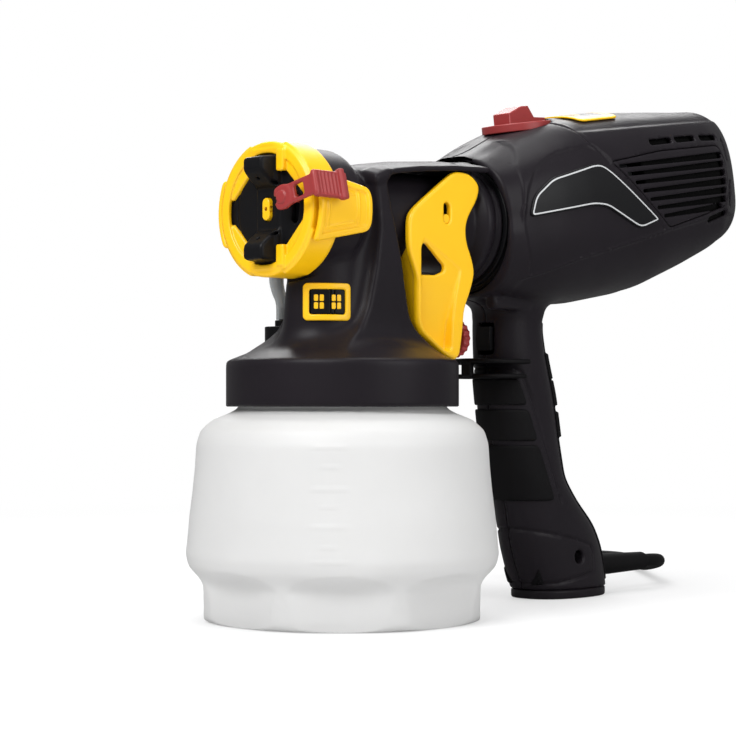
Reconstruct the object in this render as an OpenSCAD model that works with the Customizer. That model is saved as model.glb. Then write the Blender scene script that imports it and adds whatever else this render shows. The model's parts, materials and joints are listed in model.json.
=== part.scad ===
// Handheld turbine paint sprayer: a spray head on a screw-on container, locked to a turbine handle.
// Millimetres. +Z is up, the nozzle points to -X, and the origin is the centre of the container's base.

/* [Container] */
// Largest radius of the container
container_r = 72; // [64:0.5:88]
// How far the foot is drawn in below the bulge
foot_inset = 6; // [3:0.5:9]
// How far the shoulder is drawn in above the bulge
shoulder_inset = 6; // [3:0.5:9]
// Height of the container from its base to the root of its neck
container_h = 96; // [78:1:118]
// Wall of the container
container_wall = 1.8; // [1.2:0.1:2.4]
// Number of flats round the foot
foot_flats = 8; // [6:1:12]
// Depth of each flat at its middle
flat_depth = 1.4; // [0.6:0.1:2]
// Outer radius of the neck
neck_r = 47.5; // [42:0.5:52]
// Height of the neck
neck_h = 18; // [15:0.5:22]
// Height of a thread ridge
thread_t = 1.2; // [0.8:0.1:1.6]
// Thickness of the container's gasket
gasket_t = 2; // [1.5:0.1:3]

/* [Spray head] */
// Wall of the lid's band
lid_wall = 3.4; // [2.5:0.1:4.5]
// Height of the dome above the lid's band
dome_h = 8; // [6:0.5:12]
// Height of the nozzle axis above the top of the lid's band
axis_rise = 67; // [60:1:76]
// Half width of the column
column_half_w = 21; // [18:0.5:23]
// Distance of the column's front from the container's axis
column_front = 36; // [34:0.5:42]
// Distance of the column's back from the container's axis
column_back = 4; // [2:0.5:8]
// Wall of the column
column_wall = 2.6; // [2:0.1:3.5]
// Outer radius of the front of the barrel
barrel_front_r = 29; // [28:0.25:30]
// Outer radius of the barrel between the trigger's cheeks
barrel_r = 23; // [21:0.25:24]
// Wall of the barrel
barrel_wall = 2.6; // [2:0.1:3.5]
// Distance from the barrel to each cheek of the trigger
cheek_gap = 1; // [0.6:0.1:2]
// Outer radius of the fluid tube inside the barrel
core_r = 8; // [7:0.25:9]

/* [Nozzle] */
// Distance of the nozzle ring's front face from the container's axis
ring_front = 48; // [46:0.5:52]
// Length of the nozzle ring
ring_len = 17.6; // [15:0.2:20]
// Outer radius of the nozzle ring between its grips
ring_r = 30.2; // [30:0.1:32]
// Height of a grip on the nozzle ring
grip_t = 1.2; // [0.6:0.1:1.6]
// Radius of the air cap that shows inside the ring
cap_show_r = 24.8; // [22:0.2:26]
// Width of the slot in the middle of the air cap
cap_slot_w = 5; // [4:0.25:7]
// Length of the slot in the middle of the air cap
cap_slot_l = 10.4; // [9:0.2:12]
// How far the horns stand out of the ring
horn_out = 8; // [5:0.5:10]
// Width of a horn
horn_w = 15; // [12:0.5:18]
// Radius of the lever's peg round the nozzle axis
peg_orbit = 17; // [16:0.25:18]
// Angle of the width lever above the horizontal
lever_angle = 13; // [10:1:16]
// Travel of the width lever
lever_travel = 26; // [15:1:26]
// Width of the width lever
lever_w = 12; // [9:0.5:14]
// Radius of the needle
needle_r = 1.6; // [1.2:0.1:2]

/* [Trigger] */
// Distance of the trigger's front from the container's axis
trigger_front = 26; // [22:0.5:29]
// Thickness of the trigger's cheeks and front
trigger_t = 3; // [2.4:0.1:3.5]
// Distance of the trigger's pivot from the container's axis
pivot_x = 56; // [52:0.5:60]
// Height of the trigger's pivot above the nozzle axis
pivot_rise = 17.5; // [15:0.5:18]
// Radius of the trigger's pivot pin
pivot_r = 2.5; // [2:0.1:3]
// Distance of the needle's cross pin from the container's axis
cross_pin_x = 42; // [38:0.5:45]
// Radius of the needle's cross pin
cross_pin_r = 2.1; // [1.5:0.1:2.5]
// Radius of the flow knob
knob_r = 9.6; // [8:0.2:10]
// Thickness of the flow knob
knob_t = 5.4; // [4:0.2:8]
// Distance of the flow knob's back from the container's axis
knob_back = 79; // [76:0.5:80]

/* [Air hose] */
// Outer radius of the clear air hose
hose_r = 3; // [2.5:0.1:3.5]
// Bore radius of the clear air hose
hose_bore_r = 2; // [1.5:0.1:2.3]
// Radius of the vent valve's cap
valve_r = 8.4; // [7:0.1:10]

/* [Coupling] */
// Distance of the coupling's front edge from the container's axis
coupling_x = 80; // [76:0.5:86]
// Outer radius of the head's collar at the coupling
collar_r = 28.5; // [27:0.25:29.5]
// Length of the spigot that enters the turbine
spigot_len = 17; // [14:0.5:20]
// Wall of the coupling ring round the spigot
mouth_wall = 5; // [4:0.25:6]

/* [Turbine housing] */
// Upward tilt of the turbine housing
tilt = 8.6; // [4:0.2:12]
// Length of the housing behind the coupling
housing_len = 205; // [180:1:250]
// Half width of the housing
housing_half_w = 46; // [42:0.5:52]
// Height of the housing above its own axis
housing_top = 50; // [46:0.5:56]
// Depth of the housing below its own axis
housing_bottom = 46.5; // [43:0.5:52]
// Wall of the housing and the handle
shell_wall = 2.8; // [2.2:0.1:3.2]
// Number of louvre slots in each filter cover
louvres = 7; // [4:1:9]
// Height of a louvre slot
louvre_h = 2.4; // [1.5:0.1:3]

/* [Handle] */
// Half width of the grip
grip_half_w = 16.5; // [15:0.5:21]
// Half width of the foot
foot_half_w = 19; // [18:0.5:24]
// Length of the foot from front to back
foot_len = 56; // [50:1:70]
// Distance of the foot's centre from the container's axis
foot_x = 155.5; // [150:1:166]
// Height of the separate base under the foot
base_h = 5; // [4:0.5:8]
// Thickness of the soft grip pads
pad_t = 1.4; // [1:0.1:2]

/* [Motor] */
// Radius of the turbine casing
casing_r = 38; // [34:0.5:40]
// Length of the turbine casing
casing_len = 46; // [38:1:52]
// Number of impellers
impellers = 2; // [1:1:3]
// Number of blades on each impeller
blades = 9; // [5:1:12]
// Radius of the motor's can
motor_r = 22; // [18:0.5:25]
// Length of the motor's can
motor_len = 56; // [45:1:62]
// Radius of the motor's shaft
shaft_r = 3; // [2:0.25:4]

/* [Controls] */
// Radius of the power selector
selector_r = 17.5; // [14:0.5:20]
// Height of the power selector's disc
selector_t = 4; // [3:0.25:6]
// Height of the grip on the power selector
selector_grip = 8.5; // [6:0.5:11]
// Width of the power switch
switch_w = 9; // [7:0.5:12]
// Height of the power switch
switch_h = 15; // [12:0.5:18]

/* [Cord] */
// Radius of the cord
cord_r = 3.5; // [3:0.1:4]
// Radius of the strain relief where it leaves the foot
relief_r = 5.8; // [5:0.1:7]
// Height of the strain relief above the floor
relief_z = 14; // [12:0.5:18]

/* [Fits] */
// Radial clearance of a part that turns in another
fit = 0.06; // [0.03:0.01:0.1]
// Clearance between parts that only lie close together
gap = 0.3; // [0.2:0.05:0.4]

/* [Hidden] */
$fn = 64;
hull_fn = 32;

// Container and lid
foot_r = container_r - foot_inset;
shoulder_r = container_r - shoulder_inset;
bulge_z = 30;
step_z = 20;
shoulder_round = 9;
rim_z = container_h + neck_h;
lid_bore_r = neck_r + 2 * thread_t + gap;
lid_r = lid_bore_r + lid_wall;
lid_base_z = container_h + 1.3;
lid_ceiling_z = rim_z + gasket_t + gap;
lid_top_z = lid_ceiling_z + 1.7;
dome_top_z = lid_top_z + dome_h;
dome_top_r = lid_r - 15;
axis_z = lid_top_z + axis_rise;

// Barrel and coupling
ring_back_x = -ring_front + ring_len;
spigot_front_x = -ring_front + 8;
front_spigot_r = cap_show_r - 0.6;
duct_r = barrel_r - barrel_wall;
cheek_in = barrel_r + cheek_gap;
cheek_out = cheek_in + trigger_t;
arch_half_w = cheek_out + 0.5;
barrel_flare_x = 66;
spigot_r = collar_r - 1.2;
mouth_r = spigot_r + mouth_wall;
spigot_end_x = coupling_x + spigot_len;
arch_r = 90;
arch_t = 2.7;
arch_top = 30.7;
arch_end_x = coupling_x - 0.012 * housing_len - 0.72 * housing_top * sin(tilt) - 0.4;
core_back_x = 60;
chamber_r = needle_r + 1.6;
chamber_back_x = -8;
packing_r = 4.6;
packing_len = 9;
nut_len = 6;
spring_chamber_r = 5.2;
spring_chamber_x = cross_pin_x + 8;
cap_len = 1.4;
needle_collar_t = 1.6;
suction_x = -16;
suction_r = 4;
suction_bore = 2.8;
suction_seat_z = lid_ceiling_z + 9;

// Trigger
slot_len = 10.5;
trigger_top = 22.5;
knob_z = axis_z - 54.5;

// Valve and hose
valve_xy = [-4, arch_half_w + valve_r + 0.6];
valve_base_z = dome_top_z;
valve_top_z = valve_base_z + 9;
barb_z = valve_top_z + 9;
fairing_in = ring_r + grip_t + 0.6;
fairing_t = 2.4;
elbow = [-20, fairing_in + fairing_t + 3.8, axis_z + 5];

// Turbine housing rows: place along its length, then top, bottom and width, as shares of the named sizes
housing_rows = [
    [-0.012, (mouth_r + 1.7) / housing_top, (mouth_r + 2.11) / housing_bottom,
     (mouth_r + 2.66) / housing_half_w],
    [0.045, 0.72, 0.835, 0.84],
    [0.1, 0.79, 0.89, 0.9],
    [0.15, 0.853, 0.924, 0.948],
    [0.233, 0.94, 0.945, 0.99],
    [0.32, 0.985, 0.975, 1],
    [0.52, 1, 0.962, 1],
    [0.7, 0.976, 0.811, 0.94],
    [0.84, 0.948, 0.677, 0.85],
    [0.94, 0.94, 0.548, 0.655],
    [1, 0.86, 0.326, 0.46],
];
roundness = 2.7;
grip_roundness = 2.3;
round_steps = 28;

// Handle rows from the top down: height, front, back and half width
grip_lean = 0.16;
foot_front = foot_x - foot_len / 2;
foot_back = foot_x + foot_len / 2;
handle_rows = [
    [axis_z - 24, 102, 139, grip_half_w + 3.5],
    [axis_z - 38, 99.5, 133.5, grip_half_w + 0.8],
    [axis_z - 48, 98.5, 131.5, grip_half_w],
    [axis_z - 63, 98.5, 135, grip_half_w],
    [axis_z - 82, 100.3, 141.5, grip_half_w],
    [axis_z - 105, 103.5, 146, grip_half_w],
    [61, 109.5, 150, grip_half_w + 0.5],
    [49, 113, 160, grip_half_w + 1],
    [37, foot_front - 12, foot_back - 10, foot_half_w - 1],
    [26, foot_front - 9.7, foot_back - 3.5, foot_half_w - 0.5],
    [12, foot_front - 4, foot_back, foot_half_w],
    [base_h, foot_front - 0.5, foot_back + 0.5, foot_half_w + 0.3],
];

// Parts inside the housing, measured along its axis from the coupling
motor_end = housing_len - 37;
motor_start = motor_end - motor_len;
casing_start = motor_start - 8 - casing_len;
casing_wall = 2;
bearing_r = 8;
bearing_len = 5;
damper_t = 3;
selector_shaft_r = 4;
selector_s = casing_start - selector_shaft_r - 4;
selector_seat = housing_top * 0.94 - 3.4;
selector_shaft_len = 7;
screw_r = 1.5;
screw_len = 17;
screw_head_r = 3.1;
screw_head_t = 2.4;
boss_r = 4.4;
counterbore_y = 9;

// Screw places as [forward or along the housing, height], and the side that the heads face
housing_screws = [
    [min(30, casing_start - boss_r - 3), 34], [motor_start + 6, 39], [motor_start + 6, -37],
    [housing_len - 14, 8],
];
handle_screws = [[124, axis_z - 96]];
foot_screw = [150, 21];

// Outlines on the sides of the housing, as [along, up], that stretch with its length
stretch = housing_len / 205;
function stretched(points) = [for (p = points) [p[0] * stretch, p[1]]];
cover_outline = stretched(
    [[69, 24], [112, 27], [171, 27], [176, 20], [176, 2], [168, -6], [110, -12.5]]);
badge_outline = stretched([
    [8, 1.5], [12.5, 12], [25, 19.5], [55, 24.2], [61, 23.6], [67, 19.5],
    [102, -8], [86, -11], [81, -9.5], [59, 2.2], [49, 3.6],
]);

// Free cord, from the strain relief to the plug
cord_route = [
    [226, 0, 14], [233, 0, 14], [240, 0.8, 13.6], [247, 4, 12.8],
    [253, 9, 11.8], [260, 15.5, 10.6], [273, 28.5, 8.4], [287, 42.5, 6.2], [301, 56.5, 4.6],
    [315, 70.5, 3.8], [327, 82.5, 3.6], [338, 94.5, 3.6], [345.5, 108, 3.6], [345.5, 123.5, 3.6],
    [338, 137, 3.6], [324.5, 144.5, 3.6], [309, 144.5, 3.6], [295.5, 137, 4.2],
    [281.5, 123, 6.4], [267.5, 109, 8.8], [261.5, 103, 9.4], [255, 96.5, 9.4], [246, 87.5, 9.4],
];
relief_len = cord_route[0][0] - foot_back;
plug_dir = 225;
plug_len = 30;
plug_w = 25;
plug_t = 18;

charcoal = "#232126";
black = "#151417";
yellow = "#f2c200";
red = "#a8343b";
clear = "#dfe3e4";
white = "#f0f0ee";
steel = "#b9bcc0";
brass = "#c9a24a";

// ---- shared shapes -------------------------------------------------------

// A turned solid on the nozzle axis, from [along X, radius] points
module turned_x(points) {
    translate([0, 0, axis_z])
        rotate([0, 90, 0])
            rotate_extrude()
                polygon([for (p = points) [p[1], p[0]]]);
}

// A cylinder along X on the nozzle axis
module rod_x(x0, x1, r) {
    translate([x0, 0, axis_z])
        rotate([0, 90, 0])
            cylinder(h = x1 - x0, r = r);
}

// A ring along X on the nozzle axis
module ring_x(x0, x1, r_in, r_out) {
    turned_x([[x0, r_in], [x1, r_in], [x1, r_out], [x0, r_out]]);
}

// A side view [X, Z] carried across the sprayer between two Y values
module side_view(points, y0, y1) {
    translate([0, y1, 0])
        rotate([90, 0, 0])
            linear_extrude(y1 - y0)
                polygon(points);
}

// Both mirror images of a child about the middle plane
module both_sides() {
    children();
    mirror([0, 1, 0])
        children();
}

// Places children in the tilted frame of the turbine housing
module in_housing() {
    translate([coupling_x, 0, axis_z])
        rotate([0, -tilt, 0])
            children();
}

// A ring along the housing's axis
module housing_ring(s0, s1, r_in, r_out) {
    translate([s0, 0, 0])
        rotate([0, 90, 0])
            rotate_extrude()
                polygon([[r_in, 0], [r_out, 0], [r_out, s1 - s0], [r_in, s1 - s0]]);
}

// Rounded outline with its own height above and below the middle
function rounded(half_w, top, bottom, steps = round_steps, power = roundness) = [
    for (i = [0 : steps - 1])
        let (a = 360 * i / steps, c = cos(a), s = sin(a), up = s > 0 ? top : bottom)
        [half_w * sign(c) * pow(abs(c), 2 / power), up * sign(s) * pow(abs(s), 2 / power)]
];

// Thin slice of the housing at one row, drawn in by an inset
module housing_slice(row, inset) {
    end = row == housing_rows[len(housing_rows) - 1] ? inset : 0;
    translate([row[0] * housing_len - end, 0, 0])
        rotate([90, 0, 90])
            linear_extrude(0.02)
                polygon(rounded(row[3] * housing_half_w - inset, row[1] * housing_top - inset,
                                row[2] * housing_bottom - inset));
}

// The housing's form in the sprayer's frame, drawn in by an inset
module housing_form(inset) {
    in_housing()
        for (i = [0 : len(housing_rows) - 2])
            hull() {
                housing_slice(housing_rows[i], inset);
                housing_slice(housing_rows[i + 1], inset);
            }
}

// Thin level slice of the handle at one row, drawn in by an inset
module handle_slice(row, inset) {
    half = (row[2] - row[1]) / 2 - inset;
    translate([(row[1] + row[2]) / 2, 0, row[0]])
        linear_extrude(0.02)
            polygon([for (p = rounded(row[3] - inset, half, half, round_steps, grip_roundness))
                [p[1], p[0]]]);
}

// The handle's form, drawn in by an inset
module handle_form(inset, first = 0, last = len(handle_rows) - 1) {
    for (i = [first : last - 1])
        hull() {
            handle_slice(handle_rows[i], inset);
            handle_slice(handle_rows[i + 1], inset);
        }
}

// Tube of constant radius swept along a route of points
function unit(v) = v / norm(v);
function tangent(route, i) = unit(route[min(i + 1, len(route) - 1)] - route[max(i - 1, 0)]);
function ring_at(route, i, r, sides) =
    let (t = tangent(route, i), side = unit(cross(t, [0.05, 0.02, 1])), up = cross(side, t))
    [for (k = [0 : sides - 1])
        route[i] + r * (cos(360 * k / sides) * side + sin(360 * k / sides) * up)];

module swept_tube(route, r, sides) {
    last = len(route) - 1;
    points = [for (i = [0 : last]) each ring_at(route, i, r, sides)];
    walls = [for (i = [0 : last - 1], k = [0 : sides - 1])
        let (n = (k + 1) % sides)
        [i * sides + k, (i + 1) * sides + k, (i + 1) * sides + n, i * sides + n]];
    start = [for (k = [0 : sides - 1]) k];
    finish = [for (k = [sides - 1 : -1 : 0]) last * sides + k];
    polyhedron(points = points, faces = concat(walls, [start, finish]), convexity = 8);
}

// Hollow tube swept along a route, with open ends
module swept_hose(route, r, bore, sides) {
    last = len(route) - 1;
    outer = [for (i = [0 : last]) each ring_at(route, i, r, sides)];
    inner = [for (i = [0 : last]) each ring_at(route, i, bore, sides)];
    n = len(outer);
    walls = [for (i = [0 : last - 1], k = [0 : sides - 1])
        let (m = (k + 1) % sides)
        each [[i * sides + k, (i + 1) * sides + k, (i + 1) * sides + m, i * sides + m],
              [n + i * sides + k, n + i * sides + m, n + (i + 1) * sides + m,
               n + (i + 1) * sides + k]]];
    ends = [for (k = [0 : sides - 1])
        let (m = (k + 1) % sides, e = last * sides)
        each [[k, m, n + m, n + k], [e + k, n + e + k, n + e + m, e + m]]];
    polyhedron(points = concat(outer, inner), faces = concat(walls, ends), convexity = 8);
}

// ---- container -----------------------------------------------------------

// Half outline of the container as [radius, height], drawn in by a wall
function container_profile(w) = [
    [0, w],
    [foot_r - 2 - w, w],
    [foot_r - w, 2 + w],
    [foot_r + 0.8 - w, step_z - 6],
    [foot_r + 1.6 - w, step_z],
    [container_r - 0.8 - w, bulge_z - 5],
    [container_r - w, bulge_z],
    [shoulder_r + 2 - w, container_h - 30],
    [shoulder_r - w, container_h - shoulder_round - w / 2],
    [shoulder_r - 2.5 - w, container_h - 4 - w],
    [shoulder_r - 8 - w / 2, container_h - 1 - w],
    [neck_r - w, container_h - w],
    [neck_r - w, rim_z + (w > 0 ? 1 : 0)],
    [0, rim_z + (w > 0 ? 1 : 0)],
];

module container_form(w) {
    flat_r = (foot_r - flat_depth - w) / cos(180 / foot_flats);
    intersection() {
        rotate_extrude()
            polygon(container_profile(w));
        union() {
            rotate([0, 0, 180 / foot_flats])
                cylinder(h = step_z - 3, r = flat_r, $fn = foot_flats);
            translate([0, 0, step_z - 3])
                cylinder(h = rim_z, r = container_r + 1);
        }
    }
}

module container() {
    color(white) {
        difference() {
            container_form(0);
            container_form(container_wall);
        }
        for (k = [0 : 1])
            translate([0, 0, rim_z - 5 - 5.5 * k])
                rotate_extrude()
                    polygon([[neck_r - 0.5, -1.6], [neck_r + thread_t, -0.5],
                             [neck_r + thread_t, 0.5], [neck_r - 0.5, 1.6]]);
    }
}

module container_gasket() {
    color(black)
        translate([0, 0, rim_z])
            difference() {
                cylinder(h = gasket_t, r = neck_r);
                translate([0, 0, -1])
                    cylinder(h = gasket_t + 2, r = neck_r - 5);
            }
}

// ---- spray head ----------------------------------------------------------

// Outside of the dome from the lid's band up, moved out a little
function dome_outline(out) = [
    [0, lid_ceiling_z], [lid_r + out, lid_ceiling_z], [lid_r + out, lid_top_z - 1],
    [lid_r - 1 + out, lid_top_z + 0.2 + out], [dome_top_r + 7, lid_top_z + dome_h * 0.4 + out],
    [dome_top_r, dome_top_z - 2 + out], [dome_top_r - 6, dome_top_z + out], [0, dome_top_z + out],
];

// Lid: a band with ridges inside it and a dome on top
module lid() {
    difference() {
        union() {
            rotate_extrude()
                polygon(dome_outline(0));
            translate([0, 0, lid_base_z])
                cylinder(h = lid_ceiling_z - lid_base_z + 0.5, r = lid_r);
        }
        translate([0, 0, lid_base_z - 1])
            cylinder(h = lid_ceiling_z - lid_base_z + 1, r = lid_bore_r);
        // Flat that clears the foot of the trigger
        translate([trigger_front + 4, -arch_half_w - 0.5, lid_top_z + 0.4])
            cube([60, 2 * arch_half_w + 1, 40]);
    }
    for (k = [0 : 1])
        translate([0, 0, rim_z - 2.5 - 5.5 * k])
            rotate_extrude()
                polygon([[lid_bore_r + 0.5, -1.4], [lid_bore_r - thread_t, -0.4],
                         [lid_bore_r - thread_t, 0.4], [lid_bore_r + 0.5, 1.4]]);
}

// Plan of the column: a round front and a square back
module column_plan(w) {
    r = column_half_w - w;
    back = column_back - w;
    centre = -column_front + column_half_w;
    translate([centre, 0])
        circle(r);
    translate([centre, -r])
        square([back - centre, 2 * r]);
}

module column_solid() {
    difference() {
        translate([0, 0, lid_top_z])
            linear_extrude(axis_rise - 8)
                column_plan(0);
        rod_x(-60, ring_back_x + gap, ring_r + grip_t + 0.6);
    }
}

module column_hollow() {
    translate([0, 0, dome_top_z + 3])
        linear_extrude(axis_z - ring_r - grip_t - column_wall - 0.6 - dome_top_z - 3)
            column_plan(column_wall);
}

// Leg of the arch on one side, flared where it meets the lid
function leg_outline() = [
    [-4, axis_z + 22], [-2.5, axis_z - 7], [-5, axis_z - 25], [-9.6, axis_z - 43],
    [-15, axis_z - 53], [-24, lid_top_z + 5], [-24, lid_top_z + 1], [28, lid_top_z + 1],
    [26, lid_top_z + 8], [19.5, axis_z - 51], [16.3, axis_z - 46], [11.7, axis_z - 23],
    [6, axis_z - 3], [2, axis_z + 18], [4, axis_z + 26], [0, axis_z + 26],
];

module arch_legs() {
    intersection() {
        both_sides()
            side_view(leg_outline(), column_half_w - 2, arch_half_w);
        translate([0, 0, lid_ceiling_z + 1])
            cylinder(h = axis_rise + 60, r = lid_r - 4);
    }
}

// Thin roof over the barrel, from the legs back to the coupling
module arch_roof() {
    intersection() {
        side_view([
            [-5, axis_z + 18], [-4, axis_z + 21], [2, axis_z + 23.5], [9, axis_z + 25.5],
            [30, axis_z + 28.2], [50, axis_z + 30], [arch_end_x - 3, axis_z + arch_top],
            [arch_end_x, axis_z + 30], [arch_end_x, axis_z + 20],
        ], -arch_half_w, arch_half_w);
        translate([-10, 0, axis_z + arch_top - arch_r])
            rotate([0, 90, 0])
                difference() {
                    cylinder(h = 120, r = arch_r, $fn = 128);
                    translate([0, 0, -1])
                        cylinder(h = 122, r = arch_r - arch_t, $fn = 128);
                }
    }
}

// Back of the roof, closed down to the barrel
module arch_back() {
    side_view([
        [arch_end_x - 6, axis_z + 20], [arch_end_x - 6, axis_z + arch_top - 0.6],
        [arch_end_x, axis_z + 29], [arch_end_x, axis_z + 20],
    ], -15, 15);
}

// Ears under the roof that hold the trigger's pivot pin
module pivot_ears() {
    ear_out = cheek_in - 0.4;
    both_sides()
        side_view([
            [pivot_x - 5, axis_z + pivot_rise - 2], [pivot_x + 5, axis_z + pivot_rise - 2],
            [pivot_x + 7, axis_z + arch_top - 3.5], [pivot_x - 7, axis_z + arch_top - 3.5],
        ], ear_out - 4, ear_out);
}

// Outside of the barrel, from the front spigot to the spigot in the turbine
module barrel_outside() {
    turned_x([
        [spigot_front_x, 0], [spigot_front_x, front_spigot_r],
        [ring_back_x + gap, front_spigot_r], [ring_back_x + gap, barrel_front_r],
        [-15, barrel_front_r], [-5, barrel_r], [barrel_flare_x, barrel_r],
        [barrel_flare_x + 4, collar_r], [coupling_x - 6, collar_r],
        [coupling_x - 5, collar_r - 1.5], [coupling_x - 3, collar_r - 1.5],
        [coupling_x - 2, collar_r], [coupling_x - 0.3, collar_r],
        [coupling_x - 0.3, spigot_r], [spigot_end_x - 8.2, spigot_r],
        [spigot_end_x - 8.2, spigot_r - 2], [spigot_end_x - 4.8, spigot_r - 2],
        [spigot_end_x - 4.8, spigot_r], [spigot_end_x, spigot_r], [spigot_end_x, 0],
    ]);
}

// Air duct through the barrel, left round the fluid core and its two vanes
module barrel_duct() {
    difference() {
        turned_x([
            [spigot_front_x - 1, 0], [spigot_front_x - 1, duct_r], [spigot_end_x + 1, duct_r],
            [spigot_end_x + 1, 0],
        ]);
        rod_x(spigot_front_x, core_back_x, core_r);
        translate([spigot_front_x, -1.2, axis_z - barrel_r])
            cube([core_back_x - spigot_front_x, 2.4, 2 * barrel_r]);
        translate([suction_x, 0, axis_z - barrel_r])
            cylinder(h = barrel_r, r = chamber_r + 2.2);
    }
}

// Bores of the fluid core, from the nozzle's seat back to the spring's chamber
module core_bores() {
    turned_x([
        [spigot_front_x - 1, 0], [spigot_front_x - 1, 5.2], [spigot_front_x + 8, 5.2],
        [spigot_front_x + 8, chamber_r], [chamber_back_x, chamber_r],
        [chamber_back_x, packing_r], [chamber_back_x + packing_len + nut_len + 1, packing_r],
        [chamber_back_x + packing_len + nut_len + 1, needle_r + 0.5],
        [spring_chamber_x, needle_r + 0.5], [spring_chamber_x, spring_chamber_r],
        [core_back_x + 1, spring_chamber_r], [core_back_x + 1, 0],
    ]);
}

module front_housing() {
    color(charcoal)
        difference() {
            union() {
                lid();
                difference() {
                    column_solid();
                    column_hollow();
                    rod_x(-60, 30, duct_r + 0.5);
                }
                arch_legs();
                arch_roof();
                arch_back();
                pivot_ears();
                difference() {
                    barrel_outside();
                    barrel_duct();
                }
                translate([suction_x, 0, lid_ceiling_z])
                    cylinder(h = axis_z - lid_ceiling_z, r = chamber_r + 2.2);
            }
            core_bores();
            translate([suction_x, 0, lid_ceiling_z - 1])
                cylinder(h = suction_seat_z - lid_ceiling_z + 1, r = suction_r + fit);
            translate([suction_x, 0, suction_seat_z - 1])
                cylinder(h = axis_z - suction_seat_z + 1, r = suction_bore);
            translate([cross_pin_x - cross_pin_r - 0.6, -40, axis_z - cross_pin_r - 0.4])
                cube([2 * cross_pin_r + 5.4, 80, 2 * cross_pin_r + 0.8]);
            translate([pivot_x, -40, axis_z + pivot_rise])
                rotate([-90, 0, 0])
                    cylinder(h = 80, r = pivot_r + 0.02);
            both_sides()
                translate([-20, barrel_front_r - 4, axis_z + 5])
                    rotate([-90, 0, 0])
                        cylinder(h = 10, r = 2);
        }
}

// Bent tube that reaches down to the edge of the container's floor
module suction_tube() {
    bend_z = container_h * 0.52;
    end_z = 7;
    reach = -20;
    angle = -atan2(reach, bend_z - end_z);
    slant = norm([reach, bend_z - end_z]);
    color(white)
        difference() {
            union() {
                translate([suction_x, 0, bend_z])
                    cylinder(h = suction_seat_z - bend_z, r = suction_r);
                translate([suction_x, 0, bend_z]) {
                    sphere(suction_r);
                    rotate([0, angle, 0])
                        translate([0, 0, -slant])
                            cylinder(h = slant, r = suction_r);
                }
            }
            translate([suction_x, 0, bend_z]) {
                cylinder(h = suction_seat_z, r = suction_bore);
                sphere(suction_bore);
                rotate([0, angle, 0])
                    translate([0, 0, -slant - 1])
                        cylinder(h = slant + 1, r = suction_bore);
            }
        }
}

module suction_seal() {
    color(black)
        translate([suction_x, 0, lid_ceiling_z - 2.4])
            difference() {
                cylinder(h = 2.1, r = suction_r + 2.2);
                translate([0, 0, -1])
                    cylinder(h = 5, r = suction_r + fit);
            }
}

module fluid_nozzle() {
    tip_x = -ring_front + 1.4;
    color(yellow)
        turned_x([
            [spigot_front_x + 7, needle_r + 0.3], [spigot_front_x + 7, 5.1],
            [spigot_front_x - 2, 5.1], [spigot_front_x - 2, 5.6], [-ring_front + 5.5, 5.6],
            [-ring_front + 5.5, 2.2], [tip_x, 1.9], [tip_x, needle_r - 0.4],
            [tip_x + 1, needle_r - 0.4], [tip_x + 4, needle_r + 0.3],
        ]);
}

module nozzle_seal() {
    color(black)
        ring_x(spigot_front_x - 2, spigot_front_x - 0.2, 5.2, 7.2);
}

module nozzle_ring() {
    lip_t = 2.2;
    color(yellow) {
        turned_x([
            [-ring_front, cap_show_r], [-ring_front, ring_r - 1],
            [-ring_front + 1, ring_r], [ring_back_x, ring_r],
            [ring_back_x, front_spigot_r + fit], [-ring_front + 6, front_spigot_r + fit],
            [-ring_front + 6, cap_show_r + 1.6], [-ring_front + lip_t, cap_show_r + 1.6],
            [-ring_front + lip_t, cap_show_r],
        ]);
        for (a = [45 : 90 : 315])
            intersection() {
                ring_x(-ring_front + 1, ring_back_x - 2, ring_r - 0.5, ring_r + grip_t);
                translate([0, 0, axis_z])
                    rotate([a, 0, 0])
                        translate([-60, 20, -13])
                            cube([60, 20, 26]);
            }
        // Two claws that reach in beside the horns, so that the ring turns the cap
        for (side = [-1, 1])
            translate([-ring_front - 1.2, -horn_w / 2 - 5.4, axis_z + side * 21 - 5])
                cube([1 + 1.2, 5, 10]);
    }
}

module air_cap() {
    face_x = -ring_front + 2.6;
    color(black)
        difference() {
            union() {
                ring_x(face_x, face_x + 2.6, 0, cap_show_r + 1.2);
                translate([face_x - 2.2, -horn_w / 2, axis_z - 22.5])
                    cube([2.6, horn_w, 45]);
                for (side = [-1, 1])
                    intersection() {
                        side_view([
                            [face_x + 0.5, axis_z + side * 9], [face_x - 3, axis_z + side * 10],
                            [-ring_front - horn_out, axis_z + side * 16.5],
                            [-ring_front - horn_out, axis_z + side * 22.5],
                            [face_x + 0.5, axis_z + side * 24.2],
                        ], -horn_w / 2, horn_w / 2);
                        ring_x(-ring_front - 20, -ring_front + 20, 0, cap_show_r - 0.4);
                    }
            }
            // Slot over the nozzle's tip
            translate([face_x - 4, 0, axis_z])
                for (side = [-1, 1])
                    translate([0, 0, side * (cap_slot_l - cap_slot_w) / 2])
                        rotate([0, 90, 0])
                            cylinder(h = 12, r = cap_slot_w / 2);
            translate([face_x - 4, -cap_slot_w / 2, axis_z - (cap_slot_l - cap_slot_w) / 2])
                cube([12, cap_slot_w, cap_slot_l - cap_slot_w]);
            // Curved slots that the lever's peg runs in, and the air holes beside them
            for (a = [lever_angle - lever_travel - 3 : 4 : lever_angle + 4])
                translate([face_x - 4, -peg_orbit * cos(a), axis_z + peg_orbit * sin(a)])
                    rotate([0, 90, 0])
                        cylinder(h = 12, r = 2.3, $fn = 24);
            for (a = [60, 120, 240, 300])
                translate([face_x - 4, 13 * cos(a), axis_z + 13 * sin(a)])
                    rotate([0, 90, 0])
                        cylinder(h = 12, r = 0.9, $fn = 24);
        }
}

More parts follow.
